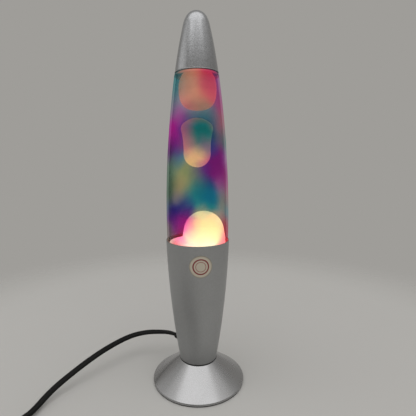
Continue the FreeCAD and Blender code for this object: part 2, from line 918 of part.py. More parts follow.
def make_cord():
    diameter = S.cord_diameter.value
    position, rotation = gland_frame()
    out = rotation.multVec(Vector(0, 0, 1))
    tip = Vector(*[size(c).value for c in position]) + out * S.gland_relief.value
    half = S.switch_length.value / 2
    level = S.switch_split.value
    x, y = SWITCH_PLACE
    route = [tip, tip + out * GLAND_RUN] + LAMP_ROUTE
    route += [(x, y + half + SWITCH_RUN, level), (x, y + half, level)]
    edges, radii = route_edges(route)
    print("lamp stretch, least radius %.1f mm:" % min(radii), [round(r, 1) for r in radii])
    print("it starts at", [tuple(round(c, 2) for c in Vector(*p)) for p in route[:2]])
    fixed("cord_lamp_stretch", tube(edges, diameter))

    edges, exit_point, exit_heading = coil_path()
    fixed("cord_coil", tube(edges, diameter))
    return exit_point, exit_heading


def coil_point(turns):
    """Point and heading of the coil after so many turns: in on the lower layer, out again on the upper."""
    pitch = S.coil_pitch.value
    climb = 0.25
    half = COIL_TURNS / 2
    away = turns - half
    if abs(away) >= climb:
        radius = S.coil_radius.value - pitch * (half - abs(away))
        growth = math.copysign(pitch, away)
    else:
        radius = S.coil_radius.value - pitch * (half - climb / 2) + pitch * away**2 / (2 * climb)
        growth = pitch * away / climb
    share = min(max((away + climb) / (2 * climb), 0.0), 1.0)
    height = S.cord_diameter.value / 2 + S.coil_layer.value * share**2 * (3 - 2 * share)
    rise = S.coil_layer.value * 6 * share * (1 - share) / (2 * climb)
    angle = 2 * math.pi * turns - math.pi / 2
    point = Vector(COIL_CENTRE[0] + radius * math.cos(angle),
                   COIL_CENTRE[1] + radius * math.sin(angle), height)
    heading = Vector(growth * math.cos(angle) - 2 * math.pi * radius * math.sin(angle),
                     growth * math.sin(angle) + 2 * math.pi * radius * math.cos(angle), rise)
    return point, heading.normalize()


def coil_path():
    """Lead-in from the switch, the coil's turns as quarter-turn biarcs, and the tail down to the plug."""
    point, heading = coil_point(0.0)
    x, y = SWITCH_PLACE
    start = (x, y - S.switch_length.value / 2, S.switch_split.value)
    runs = [start] + COIL_ROUTE + [tuple(point - heading * COIL_RUN), tuple(point)]
    edges, radii = route_edges(runs)
    print("coil lead-in, least radius %.1f mm:" % min(radii), [round(r, 1) for r in radii])
    steps = int(round((COIL_TURNS + COIL_EXTRA) * 4 + 0.5))
    stops = [min(k / 4, COIL_TURNS + COIL_EXTRA) for k in range(steps + 1)]
    for turns in stops[1:]:
        after, leaving = coil_point(turns)
        edges += biarc(point, heading, after, leaving)
        point, heading = after, leaving
    level = Vector(heading.x, heading.y, 0).normalize()
    low = point + level * TAIL
    low.z = S.plug_thickness.value / 2
    edges += biarc(point, heading, low, level)
    exit_point = low + level * S.cord_diameter.value
    edges.append(Part.LineSegment(low, exit_point).toShape())
    print("coil ends at", [round(c, 2) for c in exit_point], "heading", [round(c, 3) for c in level])
    samples = []
    travelled = 0.0
    for edge in edges:
        count = max(2, int(edge.Length / 1.5))
        for spot in edge.discretize(count)[:-1]:
            samples.append((travelled, spot))
            travelled += edge.Length / (count - 1)
    gap = min((a - b).Length for i, (s, a) in enumerate(samples) for t, b in samples[i + 1:] if t - s > 30)
    print("coil path %.0f mm, least gap to itself %.2f mm" % (travelled, gap - S.cord_diameter.value))
    return edges, exit_point, level


def make_leads():
    """Two thin leads turn up from the end of the mains lead to the terminal blocks."""
    turn = Placement(Vector(), Rotation(Vector(0, 0, 1), S.gland_angle.value))
    tilt = math.radians(S.gland_tilt.value)
    depth = S.gland_depth.value
    reach = cup_radius(S.gland_height).value - depth * math.cos(tilt)
    level = S.gland_height.value + depth * math.sin(tilt)
    angles = [tilt + (math.pi / 2 - tilt) * k / 3 for k in range(4)]
    leg = (S.terminal_low.value - level) / sum(math.sin(angle) for angle in angles)
    for name, side in (("lead_live", -1), ("lead_neutral", 1)):
        apart = S.lead_diameter.value * 0.75
        point = Vector(side * apart, reach, level)
        route = [point]
        for number, angle in enumerate(angles):
            aside = side * (S.terminal_spacing.value / 2 - apart) / 2 if number in (1, 2) else 0
            point = point + Vector(aside, -math.cos(angle) * leg, math.sin(angle) * leg)
            route.append(point)
        edges, radii = route_edges(route)
        print(name, "radii", [round(r, 1) for r in radii], "ends", [round(c, 2) for c in point])
        fixed(name, tube(edges, S.lead_diameter.value), turn)


def make_bulb():
    low = S.bulb_low
    high = low + S.bulb_length
    glass_low = low + S.bulb_insulator_height + S.bulb_contact_height
    cap_low = glass_low + S.bulb_joint_gap
    cap_high = low + S.bulb_cap_length + S.bulb_contact_height
    ribs = 4
    pitch = S.bulb_rib_pitch
    outer = S.bulb_cap_radius
    deep = outer - S.bulb_rib_depth
    wall = S.shell_wall
    corners = [(deep - wall, cap_low), (deep, cap_low)]
    start = cap_low + 0.6
    swell = (pitch * pitch / 4 + S.bulb_rib_depth * S.bulb_rib_depth) / (S.bulb_rib_depth * 2)
    for number in range(ribs):
        corners.append((deep, start + pitch * number, swell))
    corners += [(deep, start + pitch * ribs), (deep + 0.3, cap_high - 0.4), (deep + 0.3, cap_high),
                (deep - wall, cap_high)]
    turned("bulb_screw_cap", corners)

    joint = S.bulb_joint_gap
    turned("bulb_insulator", [
        (0, low + S.bulb_contact_height + joint),
        (S.bulb_contact_radius + 0.6, low + S.bulb_contact_height + joint),
        (deep, cap_low - joint),
        (0, cap_low - joint),
    ])
    turned("bulb_contact", [
        (0, low),
        (S.bulb_contact_radius * 0.6, low),
        (S.bulb_contact_radius, low + S.bulb_contact_height * 0.6),
        (S.bulb_contact_radius, low + S.bulb_contact_height),
        (0, low + S.bulb_contact_height),
    ])

    glass = S.bulb_glass
    neck = deep - wall - joint
    wide = S.bulb_radius
    brow = high - S.bulb_brow
    crown = high - S.bulb_crown
    flare = crown - S.bulb_shoulder
    throat = cap_high + 3.0
    inner = wide - glass
    front = (S.bulb_face * S.bulb_face + S.bulb_brow * S.bulb_brow) / (S.bulb_brow * 2)
    shrink = (front - glass) / front
    turned("bulb_envelope", [
        (0, cap_low + 1.0),
        (neck, cap_low + 1.0),
        (neck, cap_high + 0.3),
        (S.bulb_neck + 1.2, throat, -S.bulb_flare_curve),
        (wide - 2.0, flare, S.bulb_side_curve),
        (wide, crown, S.bulb_brow * 1.1),
        (S.bulb_face, brow, OUT_POLE),
        (0, high),
        (0, high - glass, IN_POLE),
        (S.bulb_face * shrink, high - front + (front - S.bulb_brow) * shrink, -(S.bulb_brow * 1.05)),
        (inner, crown, glass - S.bulb_side_curve),
        (wide - 2.0 - glass, flare, S.bulb_flare_curve),
        (S.bulb_neck + 1.2 - glass, throat),
        (neck - glass, cap_high + 0.3),
        (neck - glass, cap_low + 1.0 + glass),
        (0, cap_low + 1.0 + glass),
    ])

    base = cap_low + 1.0 + glass
    turned("bulb_stem", [
        (0, base),
        (neck - glass - joint, base),
        (2.2, base + 4.0),
        (1.5, base + 8.0),
        (1.5, base + 20.5),
        (0, base + 20.5),
    ])
    top = (base + 20.5).value + 0.02
    rise = (flare.value - top) * 0.75
    spread = 7.0
    wire = 0.5
    posts = []
    for sign in (-1, 1):
        run = [(sign * 1.0, 0, top), (sign * 1.0, 0, top + 3.0), (sign * spread * 0.8, 0, top + rise * 0.6),
               (sign * spread, 0, top + rise)]
        posts.append(tube(route_edges(run)[0], wire))
    loop = [(-spread, 0, top + rise), (-spread * 0.5, 2.0, top + rise + 1.2),
            (spread * 0.5, 2.0, top + rise + 1.2), (spread, 0, top + rise)]
    filament = tube(route_edges(loop)[0], wire)
    fixed("bulb_filament", posts[0].fuse([posts[1], filament]).removeSplitter())


def make_bottle():
    base = S.bottle_base
    wall = S.bottle_wall
    wide = S.bottle_widest
    heel = S.heel_round
    heel_top = base + heel
    inner_base = base + S.bottle_floor
    inner_heel = inner_base + heel - wall
    low_curve = S.bottle_low_curve
    curve = S.bottle_curve
    inner_neck = S.neck_radius - S.neck_wall
    turned("glass_bottle", [
        (0, base),
        (bottle_side(heel_top) - heel, base, heel * 1.01),
        (bottle_side(heel_top), heel_top, low_curve),
        (S.bottle_radius, wide, curve),
        (bottle_side(S.shoulder_low), S.shoulder_low, S.shoulder_round),
        (S.shoulder_radius, S.shoulder_high),
        (S.neck_radius + 0.8, S.neck_low - 2.0, -S.neck_curve * 0.4),
        (S.neck_radius, S.neck_low),
        (S.neck_radius, S.bottle_top - 3.2),
        (S.neck_radius + 0.7, S.bottle_top - 2.6),
        (S.neck_radius + 0.7, S.bottle_top - 0.8, 0.9),
        (S.neck_radius, S.bottle_top),
        (inner_neck, S.bottle_top),
        (inner_neck, S.neck_low - 1.0),
        (S.shoulder_radius - wall * 1.1, S.shoulder_high - 0.6, -S.shoulder_round),
        (bottle_side(S.shoulder_low - 1.0, wall), S.shoulder_low - 1.0, wall - curve),
        (S.bottle_radius - wall, wide, wall - low_curve),
        (bottle_side(inner_heel, wall), inner_heel, -(heel - wall * 0.5)),
        (bottle_side(inner_heel, wall) - heel + wall, inner_base),
        (0, inner_base),
    ])


def fill_outline(top, gap):
    """Outline of what fills the bottle up to a level below its shoulder."""
    inset = S.bottle_wall + gap
    inner_base = S.bottle_base + S.bottle_floor + gap
    inner_heel = inner_base + S.heel_round - S.bottle_wall
    return [
        (0, inner_base),
        (bottle_side(inner_heel, inset) - S.heel_round + S.bottle_wall, inner_base,
         S.heel_round - S.bottle_wall * 0.5),
        (bottle_side(inner_heel, inset), inner_heel, S.bottle_low_curve - inset),
        (bottle_side(top, inset), top),
        (0, top),
    ]


def oval(half_width, half_height, end_round, middle):
    """Half outline of an oval of four arcs that run smoothly into each other."""
    short = half_width - end_round
    long = half_height - end_round
    side = (half_width * half_width + long * long - end_round * end_round) / (short * 2)
    across = (half_width - side) + side * (side - half_width) / (side - end_round)
    up = side * long / (side - end_round)
    return [
        (0, middle - half_height, OUT_POLE),
        (across, middle - up, side),
        (across, middle + up, OUT_POLE),
        (0, middle + half_height),
    ]


def make_fill():
    """Wax pool with its rising dome, two free blobs, the heat ring and the liquid round them."""
    gap = S.liquid_gap
    level = S.wax_level
    pool = turned("wax_pool", fill_outline(level, gap), keep=False)
    rise = S.dome_top - level
    sides = []
    for name, grow in (("wax_dome", size(0)), ("wax_dome_space", gap)):
        dome = turned(name, [
            (0, level - 6.0),
            (S.dome_radius + grow, level - 6.0),
            (S.dome_radius + grow, level, S.dome_radius * 4),
            (S.dome_radius * 0.83 + grow, level + rise * 0.69, OUT_POLE),
            (0, S.dome_top + grow),
        ], keep=False)
        place(dome, (S.dome_offset, 0, 0))
        sides.append(dome)
    heap = boolean("Part::Fuse", "wax_heap", pool, sides[0], keep=False)

    wire = S.heat_wire_radius
    floor = S.seat_top + S.bottle_gap + S.bottle_floor
    channel = turned("heat_channel", [
        (S.heat_ring_radius - wire - gap, floor),
        (S.heat_ring_radius + wire + gap, floor),
        (S.heat_ring_radius + wire + gap, floor + wire * 2 + gap * 2),
        (S.heat_ring_radius - wire - gap, floor + wire * 2 + gap * 2),
    ], keep=False)
    boolean("Part::Cut", "wax_pool_dome", heap, channel)
    ring = doc.addObject("Part::Torus", "heat_ring")
    bind(ring, "Radius1", S.heat_ring_radius)
    bind(ring, "Radius2", wire)
    place(ring, (0, 0, floor + wire + gap * 0.5))
    kept(ring)

    blobs = []
    for name, grow, keep in (("wax_blob_middle", size(0), True), ("blob_space", gap, False)):
        blobs.append(turned(name, [
            (0, S.blob_low_bottom - grow, OUT_POLE),
            (S.blob_low_radius + grow, S.blob_low_bottom + S.blob_low_radius, -(S.blob_waist_radius * 6)),
            (S.blob_high_radius - 0.5 + grow, S.blob_top - S.blob_high_radius * 0.86,
             S.blob_high_radius * 0.48),
            (S.blob_high_radius - 1.2 + grow, S.blob_top - S.blob_high_radius * 0.41, OUT_POLE),
            (0, S.blob_top + grow),
        ], keep=keep))
    tops = []
    for name, grow in (("wax_blob_top", size(0)), ("top_blob_space", gap)):
        tall = turned(name, oval(S.top_blob_radius + grow, S.top_blob_half + grow, S.top_blob_round + grow,
                                 S.top_blob_middle), keep=name == "wax_blob_top")
        place(tall, (S.top_blob_offset, 0, 0))
        tops.append(tall)

    shoulder = S.shoulder_low - 1.0
    wall = S.bottle_wall + gap
    neck = S.neck_radius - S.neck_wall - gap
    under = level + gap
    body = turned("liquid_body", [
        (0, under),
        (bottle_side(under, wall), under, S.bottle_low_curve - wall),
        (S.bottle_radius - wall, S.bottle_widest, S.bottle_curve - wall),
        (bottle_side(shoulder, wall), shoulder, S.shoulder_round - gap),
        (S.shoulder_radius - S.bottle_wall * 1.1 - gap, S.shoulder_high - 0.6),
        (neck, S.neck_low - 1.0),
        (neck, S.liquid_top),
        (0, S.liquid_top),
    ], keep=False)
    round_dome = boolean("Part::Cut", "liquid_round_dome", body, sides[1], keep=False)
    round_blob = boolean("Part::Cut", "liquid_round_blob", round_dome, blobs[1], keep=False)
    boolean("Part::Cut", "liquid_fill", round_blob, tops[1])


def make_closure():
    """Crown closure crimped over the neck, with a thin liner."""
    top = S.bottle_top
    lip = S.neck_radius + 0.7
    gap = S.crown_clearance
    sheet = S.crown_sheet
    lined = top + S.liner_thickness + 0.05
    skirt = top - S.crown_skirt + 1.6
    turned("crown_closure", [
        (0, lined),
        (lip - 0.6, lined, -(gap + 0.9)),
        (lip + gap, lined - 1.0),
        (lip + gap, skirt + 0.8),
        (lip + gap + 1.1, skirt),
        (lip + gap + 1.1 + sheet, skirt + 0.1),
        (lip + gap + sheet, skirt + 1.0),
        (lip + gap + sheet, lined - 1.0, gap + 0.9 + sheet),
        (lip - 0.6, lined + sheet),
        (0, lined + sheet),
    ])
    turned("closure_liner", [
        (0, top + 0.02),
        (S.neck_radius - 0.3, top + 0.02),
        (S.neck_radius - 0.3, top + S.liner_thickness),
        (0, top + S.liner_thickness),
    ])


def make_cap():
    """Spun cone with a round nose, the same sheet thickness all over."""
    low = S.cap_low
    high = low + S.cap_height
    wall = S.cap_wall
    nose = high - S.cap_nose
    brow = high - S.cap_brow
    crown = (S.cap_brow_radius * S.cap_brow_radius + S.cap_brow * S.cap_brow) / (S.cap_brow * 2)
    shrink = (crown - wall) / crown
    turned("top_cap", [
        (S.cap_low_radius - wall, low),
        (S.cap_low_radius, low, S.cap_curve),
        (S.cap_high_radius, nose, S.cap_brow_curve),
        (S.cap_brow_radius, brow, OUT_POLE),
        (0, high),
        (0, high - wall, IN_POLE),
        (S.cap_brow_radius * shrink, high - crown + (crown - S.cap_brow) * shrink, wall - S.cap_brow_curve),
        (S.cap_high_radius - wall, nose - wall * 0.2, wall - S.cap_curve),
    ])


def stadium(length, width, corner):
    """A rounded rectangle about the origin."""
    x = length / 2
    y = width / 2
    r = corner
    return [(x - r, -y, r), (x, -y + r), (x, y - r, r), (x - r, y), (-x + r, y, r), (-x, y - r),
            (-x, -y + r, r), (-x + r, -y)]


def make_switch():
    """Inline rocker switch: two shells split level with the lead, a rocker on its pivot, two contacts."""
    heading = Rotation(Vector(0, 0, 1), SWITCH_HEADING)
    spot = (SWITCH_PLACE[0], SWITCH_PLACE[1], 0)
    wall = S.switch_wall
    split = S.switch_split
    joint = S.gland_fit
    inner = stadium(S.switch_length - wall * 2, S.switch_width - wall * 2, S.switch_corner - wall)

    base = padded("switch_base", "XY_Plane",
                  stadium(S.switch_length, S.switch_width, S.switch_corner), 0, split)
    rounded(base, "switch_base_round", size(1.2), lambda edge: edge.BoundBox.ZMax < 0.01)
    pocket(base, "XY_Plane", "switch_base_hollow", lambda sketch: outline(sketch, inner), split, split - wall)
    screw_x = S.switch_length / 2 - wall - 5.0
    for number, side in enumerate((-1, 1)):
        pocket(base, "XY_Plane", "switch_base_hole_%d" % number,
               lambda sketch: circle(sketch, screw_x * side, 0, S.screw_radius + S.screw_fit), wall, wall * 2)
        pocket(base, "XY_Plane", "switch_base_sink_%d" % number,
               lambda sketch: circle(sketch, screw_x * side, 0, S.screw_head + 0.1), wall * 0.5, wall)

    high = S.switch_height
    cover = padded("switch_cover", "XY_Plane", stadium(S.switch_length, S.switch_width, S.switch_corner),
                   split + joint, high - split - joint)
    rounded(cover, "switch_cover_round", size(2.4), lambda edge: edge.BoundBox.ZMin > high.value - 0.01)
    pocket(cover, "XY_Plane", "switch_cover_hollow", lambda sketch: outline(sketch, inner), split + joint,
           high - split - joint - wall, reverse=True)
    gap = S.rocker_gap
    x = S.rocker_length / 2 + gap
    y = S.rocker_width / 2 + gap
    pocket(cover, "XY_Plane", "switch_window",
           lambda sketch: outline(sketch, [(-x, -y), (x, -y), (x, y), (-x, y)]), high, wall * 2)
    boss = wall * 1.4
    for number, side in enumerate((-1, 1)):
        sketch = new_sketch(cover, "XZ_Plane", "pivot_boss_outline_%d" % number, side * (y + boss / 2))
        r = S.pivot_radius + 1.3
        outline(sketch, [(-r, S.rocker_pivot - r), (r, S.rocker_pivot - r), (r, high - wall * 0.5),
                         (-r, high - wall * 0.5)])
        pad = cover.newObject("PartDesign::Pad", "pivot_boss_%d" % number)
        pad.Profile = sketch
        pad.Length = boss.value
        bind(pad, "Length", boss)
        pad.Midplane = True
    pocket(cover, "XZ_Plane", "pivot_holes",
           lambda sketch: circle(sketch, 0, S.rocker_pivot, S.pivot_radius + S.pivot_fit),
           0, (y + S.pivot_depth + 0.3) * 2, middle=True)
    for number, side in enumerate((-1, 1)):
        sketch = new_sketch(cover, "XY_Plane", "screw_post_outline_%d" % number, split + joint)
        circle(sketch, screw_x * side, 0, S.screw_radius + 1.5)
        circle(sketch, screw_x * side, 0, S.screw_radius + S.screw_fit)
        pad = cover.newObject("PartDesign::Pad", "screw_post_%d" % number)
        pad.Profile = sketch
        pad.Length = (high - split - joint - wall * 0.5).value
        bind(pad, "Length", high - split - joint - wall * 0.5)

    reach = S.rocker_length / 2
    angle = math.radians(S.rocker_tip_angle.value)
    tip = (reach * round(math.cos(angle), 6), reach * round(math.sin(angle), 6))
    rocker = padded("switch_rocker", "XZ_Plane", [
        (-reach * 0.96, -reach * 0.28),
        (-2.5, -S.rocker_depth),
        (2.5, -S.rocker_depth),
        (reach * 0.96, -reach * 0.28, reach),
        (tip[0], tip[1], -26),
        (0, S.rocker_middle, -26),
        (-tip[0], tip[1], reach),
    ], 0, S.rocker_width, middle=True)
    sketch = new_sketch(rocker, "XZ_Plane", "rocker_pins_outline")
    circle(sketch, 0, 0, S.pivot_radius)
    pins = rocker.newObject("PartDesign::Pad", "rocker_pins")
    pins.Profile = sketch
    pins.Length = (S.rocker_width + (gap + S.pivot_depth) * 2).value
    bind(pins, "Length", S.rocker_width + (gap + S.pivot_depth) * 2)
    pins.Midplane = True

    strips = []
    for name, side in (("switch_contact_a", -1), ("switch_contact_b", 1)):
        strip = S.shell_wall
        bend = [(3.0, wall), (16.0, wall), (16.0, wall + strip), (4.0, wall + strip), (4.0, wall + 3.8),
                (3.0, wall + 3.8)]
        if side < 0:
            bend = [(-x, z) for x, z in reversed(bend)]
        piece = padded(name, "XZ_Plane", bend, size(side) * 2.0, S.contact_width, keep=False, middle=True)
        place(piece, spot, heading)
        strips.append(piece)
    group("switch_contacts", strips)

    screws = []
    for name, side in (("switch_screw_a", -1), ("switch_screw_b", 1)):
        piece = turned(name, [
            (0, size(0.25)),
            (S.screw_head, size(0.25)),
            (S.screw_head, wall * 0.5),
            (S.screw_radius, wall * 0.5),
            (S.screw_radius, high - wall * 1.6),
            (0, high - wall * 1.6),
        ], keep=False)
        along = heading.multVec(Vector(side, 0, 0))
        place(piece, (spot[0] + screw_x * along.x, spot[1] + screw_x * along.y, 0), heading)
        screws.append(piece)
    group("switch_screws", screws)
    for thing in (base, cover):
        place(thing, spot, heading)
    place(rocker, (spot[0], spot[1], S.rocker_pivot),
          heading.multiply(Rotation(Vector(0, 1, 0), -S.rocker_throw.value / 2)))


def make_plug(point, heading):
    """Flat two-pin plug lying on the table, pins level, lead square into its collar."""
    facing = Rotation(Vector(0, 0, 1), math.degrees(math.atan2(heading.y, heading.x)))
    half = S.plug_width / 2
    neck = S.plug_neck / 2
    start = S.plug_collar_length
    end = start + S.plug_length
    shoulder = end - S.plug_shoulder
    body = padded("plug_body", "XY_Plane", [
        (start, -neck),
        (start + 6.0, -neck),
        (shoulder, -half),
        (end, -half),
        (end, half),
        (shoulder, half),
        (start + 6.0, neck),
        (start, neck),
    ], 0, S.plug_thickness, middle=True)
    rounded(body, "plug_rounds", size(2.6), lambda edge: edge.BoundBox.XMax < end.value - 0.01)
    sketch = new_sketch(body, "YZ_Plane", "plug_collar_outline", 0)
    circle(sketch, 0, 0, S.plug_collar_radius)
    collar = body.newObject("PartDesign::Pad", "plug_collar")
    collar.Profile = sketch
    collar.Length = (start + 2.0).value
    bind(collar, "Length", start + 2.0)
    spread = S.pin_spacing / 2
    fit = S.gland_fit
    pocket(body, "YZ_Plane", "plug_pin_sockets",
           lambda sketch: [circle(sketch, side * spread, 0, S.pin_core + fit) for side in (-1, 1)],
           end, size(8.0))
    doc.recompute()
    spot = Placement(point, facing)
    body.Placement = spot
    pins = []
    sleeves = []
    for number, side in enumerate((-1, 1)):
        root_x = end - 7.8
        reach = S.pin_length + 7.8
        bare = S.pin_length - S.sleeve_length
        pin = turned("plug_pin_%d" % number, [
            (0, 0),
            (S.pin_core, 0),
            (S.pin_core, reach - bare),
            (S.pin_radius, reach - bare),
            (S.pin_radius, reach - 1.2, 1.3),
            (S.pin_radius - 1.2, reach),
            (0, reach),
        ], keep=False)
        sleeve = turned("pin_sleeve_%d" % number, [
            (S.pin_core + fit * 0.4, size(7.8)),
            (S.sleeve_radius, size(7.8)),
            (S.sleeve_radius, reach - bare - 0.05),
            (S.pin_core + fit * 0.4, reach - bare - 0.05),
        ], keep=False)
        inner = Placement(Vector(root_x.value, side * spread.value, 0), Rotation(Vector(0, 1, 0), 90))
        pin.Placement = spot.multiply(inner)
        sleeve.Placement = spot.multiply(inner)
        pins.append(pin)
        sleeves.append(sleeve)
    group("plug_pins", pins)
    group("pin_sleeves", sleeves)


def check(thing):
    """Stops the build where a feature failed or a shape is empty or broken."""
    if {"Invalid", "Error"} & set(thing.State):
        raise RuntimeError("%s: %s" % (thing.Label, thing.State))


def main():
    derive_sizes()
    make_foot()
    make_clamp()
    make_cup()
    make_gland()
    make_holder()
    make_leads()
    point, heading = make_cord()
    make_bulb()
    make_bottle()
    make_fill()
    make_closure()
    make_cap()
    make_switch()
    make_plug(point, heading)
    doc.recompute()
    for thing in doc.Objects:
        check(thing)
    os.makedirs("parts", exist_ok=True)
    for node in nodes:
        if node.Shape.isNull() or not node.Shape.isValid():
            raise RuntimeError("%s: the shape is null or broken" % node.Label)
        node.Shape.exportStep(os.path.join("parts", node.Label + ".step"))
        print("%-24s %2d solids %10.1f mm3" % (node.Label, len(node.Shape.Solids), node.Shape.Volume))


main()
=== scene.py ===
"""Looks of a liquid motion lamp: spun foot, cup and cap, a dyed glass bottle with wax in a painted glow, and
a lead.
"""

import math

import bmesh
import bpy
from mathutils import Matrix, Vector


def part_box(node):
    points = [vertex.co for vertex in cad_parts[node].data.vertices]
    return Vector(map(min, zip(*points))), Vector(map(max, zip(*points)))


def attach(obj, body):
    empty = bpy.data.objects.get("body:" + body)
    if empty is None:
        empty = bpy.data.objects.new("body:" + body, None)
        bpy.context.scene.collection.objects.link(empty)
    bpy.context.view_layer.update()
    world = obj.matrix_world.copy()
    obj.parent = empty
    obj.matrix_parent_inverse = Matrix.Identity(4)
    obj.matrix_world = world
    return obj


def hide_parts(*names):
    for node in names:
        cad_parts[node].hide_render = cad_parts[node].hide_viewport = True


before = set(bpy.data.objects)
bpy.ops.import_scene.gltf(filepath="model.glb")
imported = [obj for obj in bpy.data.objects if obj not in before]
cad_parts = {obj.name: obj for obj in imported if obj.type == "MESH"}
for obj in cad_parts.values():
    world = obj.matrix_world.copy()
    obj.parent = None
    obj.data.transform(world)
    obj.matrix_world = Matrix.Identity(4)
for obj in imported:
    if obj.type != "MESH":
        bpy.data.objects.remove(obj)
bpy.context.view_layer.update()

MM = 0.001


# Camera

# The photograph's frame in pixels, and what the lamp's proportions in it give for the camera: its focal
# length and picture middle in pixels, its place in metres, and its tilts in degrees.
PHOTO_SIDE = 416
FOCAL_LENGTH = 343.5
MIDDLE = (199.5, 205.1)
CAMERA_PLACE = (0.00205, -0.34105, 0.2313)
LOOKS_DOWN = 7.68
LEANS = 0.3


def make_camera():
    """A little above the middle of the lamp and close in front, looking slightly down."""
    lens = bpy.data.cameras.new("camera")
    lens.sensor_width = 36.0
    lens.lens = FOCAL_LENGTH / PHOTO_SIDE * lens.sensor_width
    lens.shift_x = (PHOTO_SIDE / 2 - MIDDLE[0]) / PHOTO_SIDE
    lens.shift_y = (MIDDLE[1] - PHOTO_SIDE / 2) / PHOTO_SIDE
    lens.clip_start = 0.01
    camera = bpy.data.objects.new("camera", lens)
    bpy.context.scene.collection.objects.link(camera)
    down = Matrix.Rotation(math.radians(90 - LOOKS_DOWN), 4, "X")
    turn = down @ Matrix.Rotation(math.radians(-LEANS), 4, "Z")
    camera.matrix_world = Matrix.Translation(CAMERA_PLACE) @ turn
    bpy.context.scene.camera = camera


# Mains lead

# Route of the lead's free stretch in mm: out of the gland, over the table and down into the switch.
LAMP_ROUTE = [
    (-24.80, 31.74, 29.94),
    (-32.71, 41.86, 27.95),
    (-47.0, 46.2, 26.5),
    (-62.5, 46.8, 25.8),
    (-78.5, 40.9, 24.9),
    (-93.5, 27.0, 23.7),
    (-109.5, 9.2, 20.9),
    (-127.0, -11.2, 15.0),
    (-143.6, -33.6, 8.2),
    (-151.2, -56.5, 3.4),
    (-155.5, -68.0, 6.0),
    (-155.5, -78.0, 6.0),
]
# From the switch's other face into the coil, in mm.
COIL_ROUTE = [(-155.5, -134.0, 6.0), (-155.5, -145.0, 6.0), (-148.5, -157.0, 3.3), (-132.5, -162.0, 3.0)]
# The coil: its turns wind in up to the middle one, climb within a share of a turn, and wind out on top.
COIL_CENTRE = (-97.5, -124.5)
COIL_TURNS = 6.125
COIL_MIDDLE = 3.0
COIL_CLIMB = 0.25
COIL_RADIUS = 37.5
COIL_PITCH = 5.9
COIL_RUN = 9.0
# Control points of the coil, 24 to a turn.
COIL_POINTS = 146
# From the coil down to the plug: the tail's length, where along it the bends lie, and its end in the plug.
TAIL = 26.0
TAIL_BENDS = (0.3, 0.35)
IN_PLUG = 2.0
PLUG_HEIGHT = 6.85
LEAD_WIDTH = 5.8
LEAD_THICKNESS = 3.5


def smooth_share(value, low, high):
    """How far a value has come from low to high, from 0 to 1, easing in and out."""
    share = min(max((value - low) / (high - low), 0.0), 1.0)
    return share * share * (3 - 2 * share)


def coil_point(turns):
    """The coil after so many turns: in on the table, up in the middle, out again on top."""
    away = turns - COIL_MIDDLE
    if abs(away) >= COIL_CLIMB:
        wound = abs(away)
    else:
        wound = COIL_CLIMB / 2 + away**2 / (2 * COIL_CLIMB)
    radius = COIL_RADIUS - COIL_PITCH * (COIL_MIDDLE - wound)
    angle = 2 * math.pi * turns - math.pi / 2
    return Vector((
        COIL_CENTRE[0] + radius * math.cos(angle),
        COIL_CENTRE[1] + radius * math.sin(angle),
        LEAD_WIDTH / 2 + COIL_PITCH * smooth_share(away, -COIL_CLIMB, COIL_CLIMB),
    ))


def coil_route():
    """Control points of the plug's lead."""
    turns = [coil_point(COIL_TURNS * k / COIL_POINTS) for k in range(COIL_POINTS + 1)]
    little = 0.001
    start = (coil_point(little) - coil_point(0.0)).normalized()
    end = coil_point(COIL_TURNS) - coil_point(COIL_TURNS - little)
    level = Vector((end.x, end.y, 0)).normalized()
    low = turns[-1] + level * TAIL
    low.z = PLUG_HEIGHT
    bends = [turns[-1] + level * TAIL * TAIL_BENDS[0], low - level * TAIL * TAIL_BENDS[1]]
    bends[1].z = PLUG_HEIGHT
    into_plug = low + level * (LEAD_WIDTH + IN_PLUG)
    return COIL_ROUTE + [turns[0] - start * COIL_RUN] + turns + bends + [low, into_plug]


def drawn_line(name, route):
    """Points along a smooth NURBS spline with the route as its control points."""
    line = bpy.data.curves.new(name, "CURVE")
    line.dimensions = "3D"
    line.resolution_u = 6
    spline = line.splines.new("NURBS")
    spline.points.add(len(route) - 1)
    for spot, place in zip(spline.points, route):
        spot.co = (*(Vector(place) * MM), 1.0)
    spline.order_u = 3
    spline.use_endpoint_u = True
    holder = bpy.data.objects.new(name, line)
    drawn = bpy.data.meshes.new_from_object(holder)
    points = [v.co.copy() for v in drawn.vertices]
    bpy.data.meshes.remove(drawn)
    bpy.data.objects.remove(holder)
    bpy.data.curves.remove(line)
    return points


def twin_section():
    """Cross section of flat two-core lead: two round cores side by side with a shallow valley between."""
    steps = 28
    valley_width = 0.7
    valley_depth = 0.16
    core = LEAD_THICKNESS / 2
    across = LEAD_WIDTH / 2 - core
    outline = []
    for k in range(steps):
        angle = 2 * math.pi * k / steps
        x = math.copysign(across, math.cos(angle)) + core * math.cos(angle)
        y = core * math.sin(angle)
        valley = math.exp(-(x / valley_width) ** 2) * valley_depth
        outline.append((x, y - math.copysign(valley, y)))
    return outline


def skin(mesh, rings):
    """Joins rings of points, one after the other, into a tube with both ends closed."""
    for first, second in zip(rings, rings[1:]):
        for k in range(len(first)):
            after = (k + 1) % len(first)
            mesh.faces.new((first[k], first[after], second[after], second[k]))
    mesh.faces.new(list(reversed(rings[0])))
    mesh.faces.new(rings[-1])
    bmesh.ops.recalc_face_normals(mesh, faces=mesh.faces)


